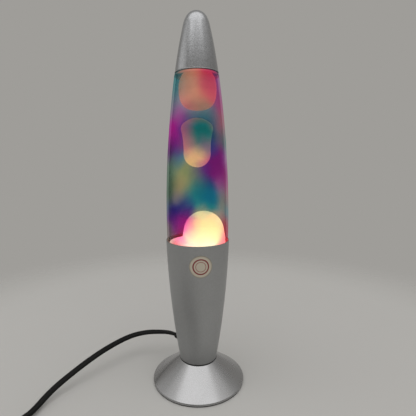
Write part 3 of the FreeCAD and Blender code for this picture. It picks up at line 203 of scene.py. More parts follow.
def lead(name, route, roll):
    """Sweeps the flat lead along its line; roll gives its twist in degrees at each length in metres."""
    line = drawn_line(name, route)
    section = twin_section()
    mesh = bmesh.new()
    rings = []
    travelled = 0.0
    side = None
    for here, spot in enumerate(line):
        ahead = line[min(here + 1, len(line) - 1)]
        behind = line[max(here - 1, 0)]
        along = (ahead - behind).normalized()
        if here:
            travelled += (spot - behind).length
        level = along.cross(Vector((0, 0, 1))).normalized()
        side = level if side is None or level.dot(side) > 0 else -level
        turn = Matrix.Rotation(math.radians(roll(travelled)), 3, along)
        wide = turn @ side
        tall = along.cross(wide)
        rings.append([mesh.verts.new(spot + (wide * x + tall * y) * MM) for x, y in section])
    skin(mesh, rings)
    return finished(name, mesh), line


def length_of(line):
    """Length in metres of a line of points."""
    return sum((b - a).length for a, b in zip(line, line[1:]))


def finished(name, mesh):
    """Turns a bmesh into a smooth-shaded piece of that name."""
    data = bpy.data.meshes.new(name)
    mesh.to_mesh(data)
    mesh.free()
    for face in data.polygons:
        face.use_smooth = True
    piece = bpy.data.objects.new(name, data)
    bpy.context.scene.collection.objects.link(piece)
    return piece


def lamp_roll(travelled):
    """Nearly edge on to the front at the gland, then turning its flat side up to the front, then level."""
    at_gland = 31.0
    swing = 77.0
    swings_over = 0.035
    levels_from = 0.155
    levels_by = 0.2
    turned = at_gland - swing * (1 - math.exp(-travelled / swings_over))
    return turned * (1 - smooth_share(travelled, levels_from, levels_by))


def coil_roll(long):
    """Level out of the switch, on edge through the coil, level again at the plug, in a lead so long."""
    tips_from = 0.004
    tips_by = 0.05
    falls_from = long - 0.046
    falls_by = long - 0.018

    def roll(travelled):
        on_edge = smooth_share(travelled, tips_from, tips_by)
        off_edge = smooth_share(travelled, falls_from, falls_by)
        return 90.0 * (on_edge - off_edge)

    return roll


def place_on(line, back):
    """Place and heading at a length in mm before the line's end, or past it where back is below zero."""
    left = back * MM
    for after, before in zip(reversed(line), reversed(line[:-1])):
        run = after - before
        heading = run.normalized()
        if left <= run.length:
            return after - heading * left, heading
        left -= run.length
    return line[0], heading


def make_plug_boot(line):
    """Ribbed sleeve over the plug's collar that tapers back to the lead's own flat section. Sizes in mm."""
    past_end = 4.9
    plain = 9.0
    soft = 0.3
    pitch = 2.5
    ribs = 6
    collar = 4.85
    narrows = 1.0
    flattens = 2.2
    sides = 32
    # One groove and its rib: how far along, and how far cut in.
    rib_shape = [(0.0, 0.55), (0.8, 0.55), (1.0, 0.15), (1.2, 0.0), (2.3, 0.0)]
    stops = [(0.0, 0.0), (plain - soft, 0.0)]
    for rib in range(ribs):
        stops += [(plain + rib * pitch + along, cut) for along, cut in rib_shape]
    mesh = bmesh.new()
    rings = []
    for along, cut in stops:
        share = along / (plain + ribs * pitch)
        wide = collar - narrows * share - cut
        tall = collar - flattens * share - cut
        spot, heading = place_on(line, along - past_end)
        side = heading.cross(Vector((0, 0, 1))).normalized()
        up = side.cross(heading)
        ring = []
        for k in range(sides):
            angle = 2 * math.pi * k / sides
            out = side * wide * math.cos(angle) + up * tall * math.sin(angle)
            ring.append(mesh.verts.new(spot + out * MM))
        rings.append(ring)
    skin(mesh, rings)
    return finished("plug_boot", mesh)


# Turned pieces

# The bottle's outside, in mm: its widest place, and the radius of the arcs that run up and down from there.
BOTTLE_WIDEST = 174
BOTTLE_RADIUS = 30.95
ARC_ABOVE = 965.0
ARC_BELOW = 799.0
# The rising dome of wax, in mm: its radius, how far it stands off the axis, and the pool round it.
DOME_RADIUS = 20.3
DOME_OFFSET = 6.3
POOL_RADIUS = 28.2
# Turned wax starts and ends just off its axis.
ON_AXIS = 0.01
FLUTES = 21
# Steps round a bead or a band.
ROUND = 128


def from_columns(name, columns, middle=(0.0, 0.0)):
    """Joins closed outlines of (radius, height) in mm, one for each step round an upright axis."""
    mesh = bmesh.new()
    rings = []
    for step, column in enumerate(columns):
        angle = 2 * math.pi * step / len(columns)
        ring = []
        for radius, height in column:
            across = (middle[0] + radius * math.cos(angle), middle[1] + radius * math.sin(angle))
            ring.append(mesh.verts.new((across[0] * MM, across[1] * MM, height * MM)))
        rings.append(ring)
    for first, second in zip(rings, rings[1:] + rings[:1]):
        for k in range(len(first)):
            after = (k + 1) % len(first)
            mesh.faces.new((first[k], second[k], second[after], first[after]))
    bmesh.ops.recalc_face_normals(mesh, faces=mesh.faces)
    return finished(name, mesh)


def spun(name, profile, steps, radius_at=None, middle=(0.0, 0.0)):
    """Turns a closed profile of (radius, height) in mm about an upright axis."""
    columns = []
    for step in range(steps):
        angle = 2 * math.pi * step / steps
        columns.append([(radius_at(*spot, angle) if radius_at else spot[0], spot[1]) for spot in profile])
    return from_columns(name, columns, middle)


def make_crown():
    """Crown closure with flutes pressed into its skirt. Sizes in mm."""
    outer = 14.85
    top = 331.05
    sheet = 0.42
    flat = outer - 2.4
    shoulder = 1.7
    on_axis = 0.02
    flute_depth = 0.62
    # A power above 1 leaves each flute narrower than the land beside it.
    narrows = 1.6
    profile = [(on_axis, top)]
    for k in range(7):
        angle = math.radians(90 - 15 * k)
        profile.append((flat + shoulder * math.cos(angle), top - shoulder + shoulder * math.sin(angle)))
    shoulder_end = profile[-1:]
    skirt = [(outer - 0.45, top - 2.6), (outer - 0.15, top - 3.4), (outer, top - 4.05)]
    inner = [(radius - sheet, height) for radius, height in reversed(shoulder_end + skirt)]
    ceiling = top - sheet - 0.05
    inner += [(flat - sheet, ceiling), (on_axis, ceiling)]

    def fluted(radius, height, angle):
        depth = flute_depth * smooth_share(top - height, 1.0, 3.6)
        wave = 0.5 - 0.5 * math.cos(FLUTES * angle)
        return radius - depth * wave**narrows

    return spun("crown_flutes", profile + skirt + inner, FLUTES * 12, fluted)


def make_bead(name, radius, height, thick):
    """Rolled edge of a spun shell. Sizes in mm."""
    sides = 14
    profile = []
    for k in range(sides):
        angle = 2 * math.pi * k / sides
        profile.append((radius + thick * math.cos(angle), height + thick * math.sin(angle)))
    return spun(name, profile, ROUND)


def make_band(name, inner, outer, low, high):
    """Flat dark band with softened corners: rubber edging under the foot, and dark bands that stand in for
    the shadow lines under the cap and at the cup's foot. Sizes in mm.
    """
    soft = 0.15
    rim = [(outer - soft, low), (outer, low + soft), (outer, high - soft), (outer - soft, high)]
    return spun(name, [(inner, low)] + rim + [(inner, high)], ROUND)


def bottle_radius(height):
    """Outside of the bottle at a height, both in mm: one long arc above its widest place and one below."""
    arc = ARC_ABOVE if height > BOTTLE_WIDEST else ARC_BELOW
    return BOTTLE_RADIUS - arc + math.sqrt(arc**2 - (height - BOTTLE_WIDEST) ** 2)


def make_pool_wax():
    """Pool of wax and its rising dome: the pool bows down to the glass, as wax draws back from wet glass."""
    low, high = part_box("wax_pool_dome")
    floor = low[2] / MM
    top = high[2] / MM
    # The pool's surface, how far it bows down at the glass, and the glass wall with a little room inside it.
    level = 150.0
    sag = 1.8
    wall = 2.2
    # The dome is round above its waist, a little squarer than a ball, and flares out below its flare_top.
    waist = 158.0
    squareness = 2.15
    flare_top = 162.0
    flare_foot = 147.0
    flare = 3.0
    # Steps of the outline: down the dome, down its foot, out over the pool, and down the glass.
    dome_steps = 12
    foot_steps = 8
    pool_steps = 7
    glass_stops = (140.0, 131.0, floor + 3.0)
    # The dome's foot stays clear of the glass, and the wax is rounded in at its lower edge.
    clear = 0.3
    heel_in = 2.5
    heel_out = 1.6

    def side(height):
        """Radius of the dome at a height."""
        up = max((height - waist) / (top - waist), 0.0)
        out = max((flare_top - height) / (flare_top - flare_foot), 0.0)
        return DOME_RADIUS * math.sqrt(1 - up**squareness) + flare * out**1.5

    def column(angle):
        """Outline of the wax in one direction from the dome's axis."""
        def reach(radius):
            """How far off the dome's axis a circle round the bottle's axis lies."""
            across = DOME_OFFSET * math.sin(angle)
            return -DOME_OFFSET * math.cos(angle) + math.sqrt(radius**2 - across**2)

        def surface(away):
            radius = math.hypot(DOME_OFFSET + away * math.cos(angle), away * math.sin(angle))
            return level - sag * (radius / POOL_RADIUS) ** 3

        edge = reach(POOL_RADIUS)
        foot = min(side(level - sag), edge - clear)
        spots = [(ON_AXIS, top)]
        for k in range(1, dome_steps + 1):
            height = waist + (top - waist) * math.cos(math.pi / 2 * k / dome_steps)
            spots.append((min(side(height), foot), height))
        for k in range(1, foot_steps + 1):
            height = waist + (surface(foot) - waist) * k / foot_steps
            spots.append((min(side(height), foot), height))
        for k in range(1, pool_steps + 1):
            away = foot + (edge - foot) * k / pool_steps
            spots.append((away, surface(away)))
        for height in glass_stops:
            spots.append((reach(bottle_radius(height) - wall), height))
        heel = reach(bottle_radius(floor) - wall - heel_in)
        return spots + [(heel + heel_out, floor + 1.0), (heel, floor), (heel / 2, floor), (ON_AXIS, floor)]

    steps = 96
    columns = [column(2 * math.pi * step / steps) for step in range(steps)]
    return from_columns("pool_wax", columns, (DOME_OFFSET, 0.0))


def make_top_wax():
    """Blob of wax that has spread under the shoulder: a ball above, with squarer sides and a flatter base."""
    low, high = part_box("wax_blob_top")
    centre = (Vector(low) + Vector(high)) / 2 / MM
    half_width = (high[0] - low[0]) / 2 / MM
    half_height = (high[2] - low[2]) / 2 / MM
    # A ball has a squareness of 2.
    square_above = 2.1
    square_below = 2.8
    steps = 32
    steps_round = 64
    profile = []
    for k in range(steps + 1):
        angle = math.pi * (k / steps - 0.5)
        power = 2 / (square_above if angle > 0 else square_below)
        across = half_width * math.cos(angle) ** power
        rise = math.copysign(abs(math.sin(angle)) ** power, angle)
        profile.append((max(across, ON_AXIS), centre.z + half_height * rise))
    return spun("top_wax", profile, steps_round, middle=(centre.x, centre.y))


# Materials

def colour(code):
    """An sRGB hex colour as the linear one that shaders take."""
    shares = [int(code[k:k + 2], 16) / 255 for k in (1, 3, 5)]
    return (*(s / 12.92 if s <= 0.04045 else ((s + 0.055) / 1.055) ** 2.4 for s in shares), 1.0)


def add(tree, kind, inputs=None, **settings):
    """Adds a node with its settings, and fills its inputs with values or with other nodes' outputs."""
    node = tree.nodes.new("ShaderNode" + kind)
    for name, value in settings.items():
        setattr(node, name, value)
    for name, value in (inputs or {}).items():
        if isinstance(value, bpy.types.Node):
            value = value.outputs[0]
        if isinstance(value, bpy.types.NodeSocket):
            tree.links.new(value, node.inputs[name])
        else:
            node.inputs[name].default_value = value
    return node


def new_material(name):
    material = bpy.data.materials.new(name)
    material.use_nodes = True
    material.node_tree.nodes.clear()
    return material, material.node_tree


def spun_metal(name, tone, rough, ring_mm, grain_mm, depth_mm):
    """Aluminium spun on a lathe, under a satin silver lacquer.

    It gives the eye a soft broad gloss, faint rings round the axis where the tool ran, and a fine sparkle
    from the flakes in the lacquer. The flakes are under 0.1 mm, so they are drawn at grain_mm to show.
    """
    cloud_mm = 28
    material, tree = new_material(name)
    place = add(tree, "TexCoord").outputs["Object"]
    flat = add(tree, "VectorMath", {0: place, 1: (1, 1, 0)}, operation="MULTIPLY")
    radius = add(tree, "VectorMath", {0: flat}, operation="LENGTH").outputs["Value"]
    height = add(tree, "SeparateXYZ", {0: place}).outputs["Z"]
    along = add(tree, "Math", {0: radius, 1: height}, operation="ADD")
    rings = add(tree, "TexNoise", {"W": along, "Scale": 1000 / ring_mm, "Detail": 3.0}, noise_dimensions="1D")
    grain = add(tree, "TexNoise", {"Vector": place, "Scale": 1000 / grain_mm, "Detail": 2.0,
                                   "Roughness": 0.7})
    cloud = add(tree, "TexNoise", {"Vector": place, "Scale": 1000 / cloud_mm, "Detail": 2.0})
    shade = add(tree, "MapRange", {"Value": grain, "From Min": 0.3, "From Max": 0.7})
    base = add(tree, "MixRGB", {"Fac": shade, "Color1": colour(tone[0]), "Color2": colour(tone[1])})
    gloss = add(tree, "MapRange", {"Value": cloud, "From Min": 0.3, "From Max": 0.7,
                                   "To Min": rough - 0.04, "To Max": rough + 0.05})
    gloss = add(tree, "Math", {0: grain, 1: 0.08, 2: gloss}, operation="MULTIPLY_ADD")
    relief = add(tree, "Math", {0: rings, 1: 0.35, 2: grain}, operation="MULTIPLY_ADD")
    bump = add(tree, "Bump", {"Height": relief, "Strength": 0.35, "Distance": depth_mm * MM})
    shader = add(tree, "BsdfPrincipled", {"Base Color": base, "Metallic": 1.0, "Roughness": gloss,
                                          "Normal": bump})
    add(tree, "OutputMaterial", {"Surface": shader})
    return material


def plated_metal(name, tone, rough, cloud_mm):
    """Plated or bare metal as it comes from the press or the draw bench.

    It gives the eye a cool gloss that clouds a little from place to place, with faint upright draw lines.
    Real draw lines are under 0.1 mm apart, so they are drawn at line_mm to show.
    """
    line_mm = 0.6
    depth_mm = 0.02
    material, tree = new_material(name)
    place = add(tree, "TexCoord").outputs["Object"]
    cloud = add(tree, "TexNoise", {"Vector": place, "Scale": 1000 / cloud_mm, "Detail": 3.0})
    drawn = add(tree, "Mapping", {"Vector": place, "Scale": (1, 1, 0.08)})
    lines = add(tree, "TexNoise", {"Vector": drawn, "Scale": 1000 / line_mm, "Detail": 2.0})
    base = add(tree, "MixRGB", {"Fac": cloud, "Color1": colour(tone[0]), "Color2": colour(tone[1])})
    gloss = add(tree, "MapRange", {"Value": cloud, "From Min": 0.25, "From Max": 0.75,
                                   "To Min": rough - 0.06, "To Max": rough + 0.08})
    bump = add(tree, "Bump", {"Height": lines, "Strength": 0.3, "Distance": depth_mm * MM})
    shader = add(tree, "BsdfPrincipled", {"Base Color": base, "Metallic": 1.0, "Roughness": gloss,
                                          "Normal": bump})
    add(tree, "OutputMaterial", {"Surface": shader})
    return material


def moulded(name, tone, rough, grain_mm, depth_mm, ior=1.5, coat=0.0, specular=0.5):
    """Plastic, rubber, porcelain or glass that took its skin from a mould or a die.

    It gives the eye an even grain that breaks up the gloss, wide and shallow on glaze and glass, and a colour
    that clouds a little. The grain of a real mould is about 0.1 mm, so it is drawn at grain_mm to show.
    """
    cloud_mm = 18
    material, tree = new_material(name)
    place = add(tree, "TexCoord").outputs["Object"]
    grain = add(tree, "TexNoise", {"Vector": place, "Scale": 1000 / grain_mm, "Detail": 3.0,
                                   "Roughness": 0.6})
    cloud = add(tree, "TexNoise", {"Vector": place, "Scale": 1000 / cloud_mm, "Detail": 2.0})
    base = add(tree, "MixRGB", {"Fac": cloud, "Color1": colour(tone[0]), "Color2": colour(tone[1])})
    gloss = add(tree, "MapRange", {"Value": grain, "From Min": 0.3, "From Max": 0.7,
                                   "To Min": rough - 0.05, "To Max": rough + 0.07})
    bump = add(tree, "Bump", {"Height": grain, "Strength": 0.4, "Distance": depth_mm * MM})
    shader = add(tree, "BsdfPrincipled", {"Base Color": base, "Roughness": gloss, "IOR": ior, "Normal": bump,
                                          "Coat Weight": coat, "Coat Roughness": 0.08,
                                          "Specular IOR Level": specular})
    add(tree, "OutputMaterial", {"Surface": shader})
    return material


# Dyes of the bottle's coating: what one layer lets through.
DYES = {
    "clear": "#F4F1EA",
    "peach": "#F8EEDC",
    "yellow": "#F6F2D0",
    "teal": "#78CCD4",
    "deep_teal": "#00A4C0",
    "blue": "#30BDD7",
    "steel": "#B4C4D0",
    "slate": "#A8C4D0",
    "sea": "#34D8E6",
    "ice": "#A8D6E6",
    "aqua": "#8CDAD2",
    "cyan": "#38CCE4",
    "teal_grey": "#CCE4E4",
    "lilac": "#F8EAFE",
    "mauve": "#D89ADA",
    "magenta": "#F66AE2",
    "warm_magenta": "#FF80E8",
    "orchid": "#E27CD4",
    "pale_orchid": "#E8C6EA",
    "hot_pink": "#FF46CC",
    "dull_magenta": "#E4B0D8",
    "purple": "#C276D6",
    "plum": "#AA6EBC",
    "deep_purple": "#D055CB",
    "violet": "#6A66CC",
    "indigo": "#AE8EE2",
    "pink": "#F3ACDA",
    "rose": "#F6C1D1",
    "blush": "#F4D2DE",
    "crimson": "#FF9AB0",
    "deep_rose": "#DC70BC",
    "brick": "#D07078",
    "moss": "#D2E4BE",
    "olive": "#ECF0C6",
    "tan": "#F8E6C6",
    "sage": "#BCD8CC",
    "fern": "#9EB8A8",
    "mist": "#D2DDD4",
    "stone": "#CAC2C4",
    "warm_grey": "#ECE4E0",
}

# Runs of dye on the front half of the glass: degrees round from the front, mm up, reach in mm, and the dye.
# The back half mirrors them.
RUNS_OF_DYE = [
    (-74, 304, 20, "teal"),
    (-44, 303, 17, "teal"),
    (-44, 284, 20, "lilac"),
    (-80, 283, 16, "steel"),
    (-52, 262, 21, "magenta"),
    (-38, 270, 9, "warm_magenta"),
    (-78, 258, 16, "magenta"),
    (-50, 245, 13, "purple"),
    (-78, 240, 14, "plum"),
    (-42, 233, 12, "ice"),
    (-62, 225, 14, "sage"),
    (-29, 213, 18, "olive"),
    (-9, 219, 12, "moss"),
    (-35, 201, 14, "tan"),
    (-68, 204, 17, "fern"),
    (-9, 198, 13, "aqua"),
    (15, 200, 15, "blue"),
    (26, 192, 12, "cyan"),
    (-1, 190, 16, "sea"),
    (-24, 189, 12, "ice"),
    (-47, 193, 10, "warm_grey"),
    (-40, 180, 18, "violet"),
    (-24, 185, 11, "violet"),
    (-58, 169, 13, "purple"),
    (-36, 165, 13, "magenta"),
    (-72, 157, 13, "stone"),
    (-56, 159, 9, "pale_orchid"),
    (58, 303, 17, "orchid"),
    (60, 284, 15, "pink"),
    (66, 268, 14, "rose"),
    (46, 266, 12, "blush"),
    (59, 251, 14, "rose"),
    (29, 243, 12, "indigo"),
    (52, 230, 16, "deep_purple"),
    (30, 221, 15, "deep_purple"),
    (60, 214, 13, "orchid"),
    (56, 203, 13, "pale_orchid"),
    (60, 195, 12, "mist"),
    (59, 187, 12, "mist"),
    (54, 177, 12, "clear"),
    (63, 164, 13, "crimson"),
    (6, 275, 12, "teal_grey"),
    (24, 275, 12, "teal_grey"),
    (-18, 273, 11, "mauve"),
    (4, 264, 22, "deep_teal"),
    (18, 258, 24, "deep_teal"),
    (10, 219, 11, "indigo"),
    (5, 210, 11, "slate"),
    (-28, 297, 18, "clear"),
    (-22, 306, 12, "clear"),
    (-5, 295, 15, "clear"),
    (27, 304, 14, "deep_rose"),
    (38, 292, 12, "pink"),
    (20, 286, 10, "blush"),
    (10, 281, 11, "clear"),
    (-14, 281, 11, "clear"),
    (-25, 260, 11, "indigo"),
    (-21, 248, 12, "dull_magenta"),
    (-4, 233, 12, "peach"),
    (10, 181, 9, "peach"),
    (27, 179, 8, "peach"),
    (-25, 170, 14, "hot_pink"),
    (10, 168, 14, "yellow"),
    (-4, 163, 10, "yellow"),
    (36, 167, 12, "yellow"),
    (4, 155, 13, "clear"),
    (56, 154, 10, "crimson"),
    (-47, 152, 11, "brick"),
    (-30, 157, 8, "crimson"),
    (-20, 150, 10, "blush"),
    (88, 302, 15, "lilac"),
    (86, 284, 14, "pink"),
    (88, 266, 15, "rose"),
    (86, 248, 15, "aqua"),
    (88, 230, 15, "lilac"),
    (86, 212, 15, "pink"),
    (88, 194, 15, "rose"),
    (86, 176, 14, "ice"),
    (88, 158, 13, "crimson"),
    (-92, 206, 13, "sage"),
    (-90, 180, 13, "steel"),
    (-92, 222, 13, "fern"),
]


def dyed_glass(name):
    """Blown glass with a dye fired on in soft runs.

    It gives the eye a clear gloss over colours that melt into each other, each about 15 to 40 mm across,
    and what stands behind shows through them, darker where two layers lie one behind the other.
    """
    drift_mm = 24
    drift = (0.016, 0.016, 0.016)
    # A run's dye is full within the first share of its reach, and has faded out at the second.
    full = 0.1
    faded = 1.3
    # Heights in mm between which the painted glow at the shoulder comes in.
    shoulder_low = 308.5
    shoulder_high = 309.6
    material, tree = new_material(name)
    place = add(tree, "TexCoord").outputs["Object"]
    noise = add(tree, "TexNoise", {"Vector": place, "Scale": 1000 / drift_mm, "Detail": 2.0})
    wander = add(tree, "VectorMath", {0: noise.outputs["Color"], 1: (0.5, 0.5, 0.5)}, operation="SUBTRACT")
    axes = add(tree, "SeparateXYZ", {0: place})
    near = add(tree, "Math", {0: axes.outputs["Y"]}, operation="ABSOLUTE")
    near = add(tree, "Math", {0: near, 1: -1.0}, operation="MULTIPLY")
    folded = add(tree, "CombineXYZ", {"X": axes.outputs["X"], "Y": near, "Z": axes.outputs["Z"]})
    spot = add(tree, "VectorMath", {0: wander, 1: drift, 2: folded}, operation="MULTIPLY_ADD")
    # The film is the mean of the runs that reach a spot. A trace of grey stands in where none does.
    share = 0.01
    film = (0.006, 0.006, 0.006)
    for turn, height, reach, dye in RUNS_OF_DYE:
        radius = bottle_radius(height) * MM
        angle = math.radians(turn)
        centre = (radius * math.sin(angle), -radius * math.cos(angle), height * MM)
        away = add(tree, "VectorMath", {0: spot, 1: centre}, operation="DISTANCE").outputs["Value"]
        weight = add(tree, "MapRange", {"Value": away, "From Min": reach * faded * MM,
                                        "From Max": reach * full * MM}, interpolation_type="SMOOTHSTEP")
        share = add(tree, "Math", {0: share, 1: weight}, operation="ADD")
        part = add(tree, "VectorMath", {0: colour(DYES[dye])[:3], "Scale": weight}, operation="SCALE")
        film = add(tree, "VectorMath", {0: film, 1: part}, operation="ADD")
    film = add(tree, "VectorMath", {0: film, 1: share}, operation="DIVIDE")
    facing = add(tree, "LayerWeight", {"Blend": 0.5}).outputs["Facing"]
    # Both faces of the wall show, so each carries half of the layer, and more where the view grazes it.
    depth = add(tree, "MapRange", {"Value": facing, "From Min": 0.3, "To Min": 0.5, "To Max": 0.72})
    half = add(tree, "Gamma", {"Color": film, "Gamma": depth})
    see = add(tree, "BsdfTransparent", {"Color": half})
    # Painted light: over the shoulder under the cap, an emission stands in for the wax's light that the glass
    # bends towards the eye. It is peach where the glass faces the view and grey at its sides.
    ahead = add(tree, "MapRange", {"Value": facing, "From Min": 0.7, "From Max": 0.4})
    behind = add(tree, "MixRGB", {"Fac": ahead, "Color1": colour("#767472"), "Color2": colour("#D8806E")})
    painted_light = add(tree, "VectorMath", {0: film, 1: behind}, operation="MULTIPLY")
    glow = add(tree, "Emission", {"Color": painted_light, "Strength": 1.0})
    painted_glow_share = add(tree, "MapRange", {"Value": axes.outputs["Z"], "From Min": shoulder_low * MM,
                                  "From Max": shoulder_high * MM, "To Max": 0.85})
    see = add(tree, "MixShader", {0: painted_glow_share, 1: see, 2: glow})
    gloss = add(tree, "BsdfGlossy", {"Color": (1, 1, 1, 1), "Roughness": 0.04})
    edge = add(tree, "Math", {0: facing, 1: 5.0}, operation="POWER")
    mirror = add(tree, "MapRange", {"Value": edge, "To Min": 0.02, "To Max": 0.15})
    both = add(tree, "MixShader", {0: mirror, 1: see, 2: gloss})
    add(tree, "OutputMaterial", {"Surface": both})
    return material


def clear_liquid(name):
    """Clear water-based liquid that fills the bottle.

    It gives the eye no edge of its own, and only takes a trace of the light away.
    """
    haze_mm = 40
    material, tree = new_material(name)
    place = add(tree, "TexCoord").outputs["Object"]
    haze = add(tree, "TexNoise", {"Vector": place, "Scale": 1000 / haze_mm, "Detail": 1.0})
    tint = add(tree, "MixRGB", {"Fac": haze, "Color1": colour("#FDFCFE"), "Color2": colour("#FBFCFD")})
    see = add(tree, "BsdfTransparent", {"Color": tint})
    add(tree, "OutputMaterial", {"Surface": see})
    return material


# Painted glow that stands in for the lamp's light as it dies away up the wax: mm up, and the colour of the
# glow there.
PAINTED_WAX_GLOW = [
    (150, "#FFFBDC"),
    (157, "#FBF3CB"),
    (168, "#ECDDAE"),
    (182, "#E6C08A"),
    (233, "#C09A74"),
    (263, "#98745F"),
    (267, "#846856"),
    (274, "#9A6452"),
    (298, "#985E4E"),
]


def wax_with_painted_glow(name):
    """Paraffin wax, soft from the heat, with the bulb's light from below painted through its whole depth as a
    glow.

    It gives the eye an even painted glow without edges, nearly white next to the bulb and peach further up.
    """
    cloud_mm = 16
    # The clouds shift the glow by up to this share of the wax's height, and by half of it on average.
    shift = 0.04
    material, tree = new_material(name)
    place = add(tree, "TexCoord").outputs["Object"]
    height = add(tree, "SeparateXYZ", {0: place}).outputs["Z"]
    cloud = add(tree, "TexNoise", {"Vector": place, "Scale": 1000 / cloud_mm, "Detail": 2.0})
    low = PAINTED_WAX_GLOW[0][0]
    high = PAINTED_WAX_GLOW[-1][0]
    up = add(tree, "MapRange", {"Value": height, "From Min": low * MM, "From Max": high * MM})
    up = add(tree, "Math", {0: cloud, 1: shift, 2: up}, operation="MULTIPLY_ADD")
    ramp = add(tree, "ValToRGB", {"Fac": up})
    stops = ramp.color_ramp.elements
    stops[0].color = colour(PAINTED_WAX_GLOW[0][1])
    stops[1].color = colour(PAINTED_WAX_GLOW[-1][1])
    for rise, glow in PAINTED_WAX_GLOW[1:-1]:
        stops.new((rise - low) / (high - low) + shift / 2).color = colour(glow)
    base = add(tree, "MixRGB", {"Fac": cloud, "Color1": colour("#B08A68"), "Color2": colour("#BC9674")})
    bump = add(tree, "Bump", {"Height": cloud, "Strength": 0.2, "Distance": 0.4 * MM})
    # The painted glow: an emission that stands in for the bulb's light through the wax.
    shader = add(tree, "BsdfPrincipled", {"Base Color": base, "Roughness": 0.45, "IOR": 1.44, "Normal": bump,
                                          "Emission Color": ramp.outputs["Color"], "Emission Strength": 1.25})
    add(tree, "OutputMaterial", {"Surface": shader})
    return material


def round_sticker(name):
    """Matt coated paper, printed with two plain rings.

    It gives the eye a pale disc that greys towards its edge, with a dark red ring 15 mm across and a thin
    one inside it.
    """
    # Each ring's radius and half its width in mm, and its ink. The ink's edge is soft.
    rings = ((7.3, 0.5, "#8A2E34"), (4.9, 0.15, "#A45852"))
    soft = 0.25
    greys_from = 9.6
    greys_to = 11.0
    fibre_mm = 0.8
    material, tree = new_material(name)
    place = add(tree, "TexCoord").outputs["Object"]
    low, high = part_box("round_label")
    centre = (low + high) / 2
    away = add(tree, "VectorMath", {0: place, 1: tuple(centre)}, operation="DISTANCE").outputs["Value"]
    fibre = add(tree, "TexNoise", {"Vector": place, "Scale": 1000 / fibre_mm, "Detail": 3.0})
    paper = add(tree, "MixRGB", {"Fac": fibre, "Color1": colour("#CCC2B0"), "Color2": colour("#D7CEBD")})
    for radius, half, ink in rings:
        off = add(tree, "Math", {0: away, 1: radius * MM}, operation="SUBTRACT")
        off = add(tree, "Math", {0: off}, operation="ABSOLUTE")
        line = add(tree, "MapRange", {"Value": off, "From Min": (half + soft) * MM, "From Max": half * MM})
        paper = add(tree, "MixRGB", {"Fac": line, "Color1": paper, "Color2": colour(ink)})
    # Darker grey towards the disc's edge.
    edge_grey = add(tree, "MapRange", {"Value": away, "From Min": greys_from * MM, "From Max": greys_to * MM,
                                  "To Max": 0.8})
    paper = add(tree, "MixRGB", {"Fac": edge_grey, "Color1": paper, "Color2": colour("#7E7A70")})
    bump = add(tree, "Bump", {"Height": fibre, "Strength": 0.2, "Distance": 0.03 * MM})
    shader = add(tree, "BsdfPrincipled", {"Base Color": paper, "Roughness": 0.55, "Normal": bump})
    add(tree, "OutputMaterial", {"Surface": shader})
    return material


def reflector_glass(name):
    """Bulb glass: etched and glowing on its flat face, mirrored inside behind that.

    It gives the eye a warm white face and a satin silver back.
    """
    # The mirror ends between these heights, in mm.
    mirror_to = 92.5
    face_from = 94.5
    frost_mm = 1.2
    material, tree = new_material(name)
    place = add(tree, "TexCoord").outputs["Object"]
    height = add(tree, "SeparateXYZ", {0: place}).outputs["Z"]
    frost = add(tree, "TexNoise", {"Vector": place, "Scale": 1000 / frost_mm, "Detail": 2.0})
    face = add(tree, "MapRange", {"Value": height, "From Min": mirror_to * MM, "From Max": face_from * MM})
    base = add(tree, "MixRGB", {"Fac": face, "Color1": colour("#B9B7B2"), "Color2": colour("#F2EEE6")})
    glow = add(tree, "MixRGB", {"Fac": face, "Color1": (0, 0, 0, 1), "Color2": colour("#FFDFA6")})
    metal = add(tree, "Math", {0: 1.0, 1: face}, operation="SUBTRACT")
    gloss = add(tree, "MapRange", {"Value": frost, "To Min": 0.22, "To Max": 0.4})
    bump = add(tree, "Bump", {"Height": frost, "Strength": 0.2, "Distance": 0.05 * MM})
    shader = add(tree, "BsdfPrincipled", {"Base Color": base, "Metallic": metal, "Roughness": gloss,
                                          "Normal": bump, "Emission Color": glow, "Emission Strength": 2.0})
    add(tree, "OutputMaterial", {"Surface": shader})
    return material


def studio_paper(name):
    """Matt pale paper that melts into the even grey behind it with distance."""
    # In metres from the lamp.
    fades_from = 0.33
    gone_by = 0.56
    material, tree = new_material(name)
    place = add(tree, "TexCoord").outputs["Object"]
    mottle = add(tree, "TexNoise", {"Vector": place, "Scale": 3.0, "Detail": 2.0})
    base = add(tree, "MixRGB", {"Fac": mottle, "Color1": colour("#CCCBC9"), "Color2": colour("#D0CFCD")})
    paper = add(tree, "BsdfPrincipled", {"Base Color": base, "Roughness": 0.9, "Specular IOR Level": 0.2})
    away = add(tree, "VectorMath", {0: place}, operation="LENGTH").outputs["Value"]
    gone = add(tree, "MapRange", {"Value": away, "From Min": fades_from, "From Max": gone_by},
               interpolation_type="SMOOTHSTEP")
    through = add(tree, "BsdfTransparent")
    both = add(tree, "MixShader", {0: gone, 1: paper, 2: through})
    add(tree, "OutputMaterial", {"Surface": both})
    return material


def dress(material, *names):
    """Gives CAD nodes or pieces a material."""
    for name in names:
        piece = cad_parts.get(name) or bpy.data.objects[name]
        if not piece.material_slots:
            piece.data.materials.append(material)
        for spot in piece.material_slots:
            spot.material = material


# Studio

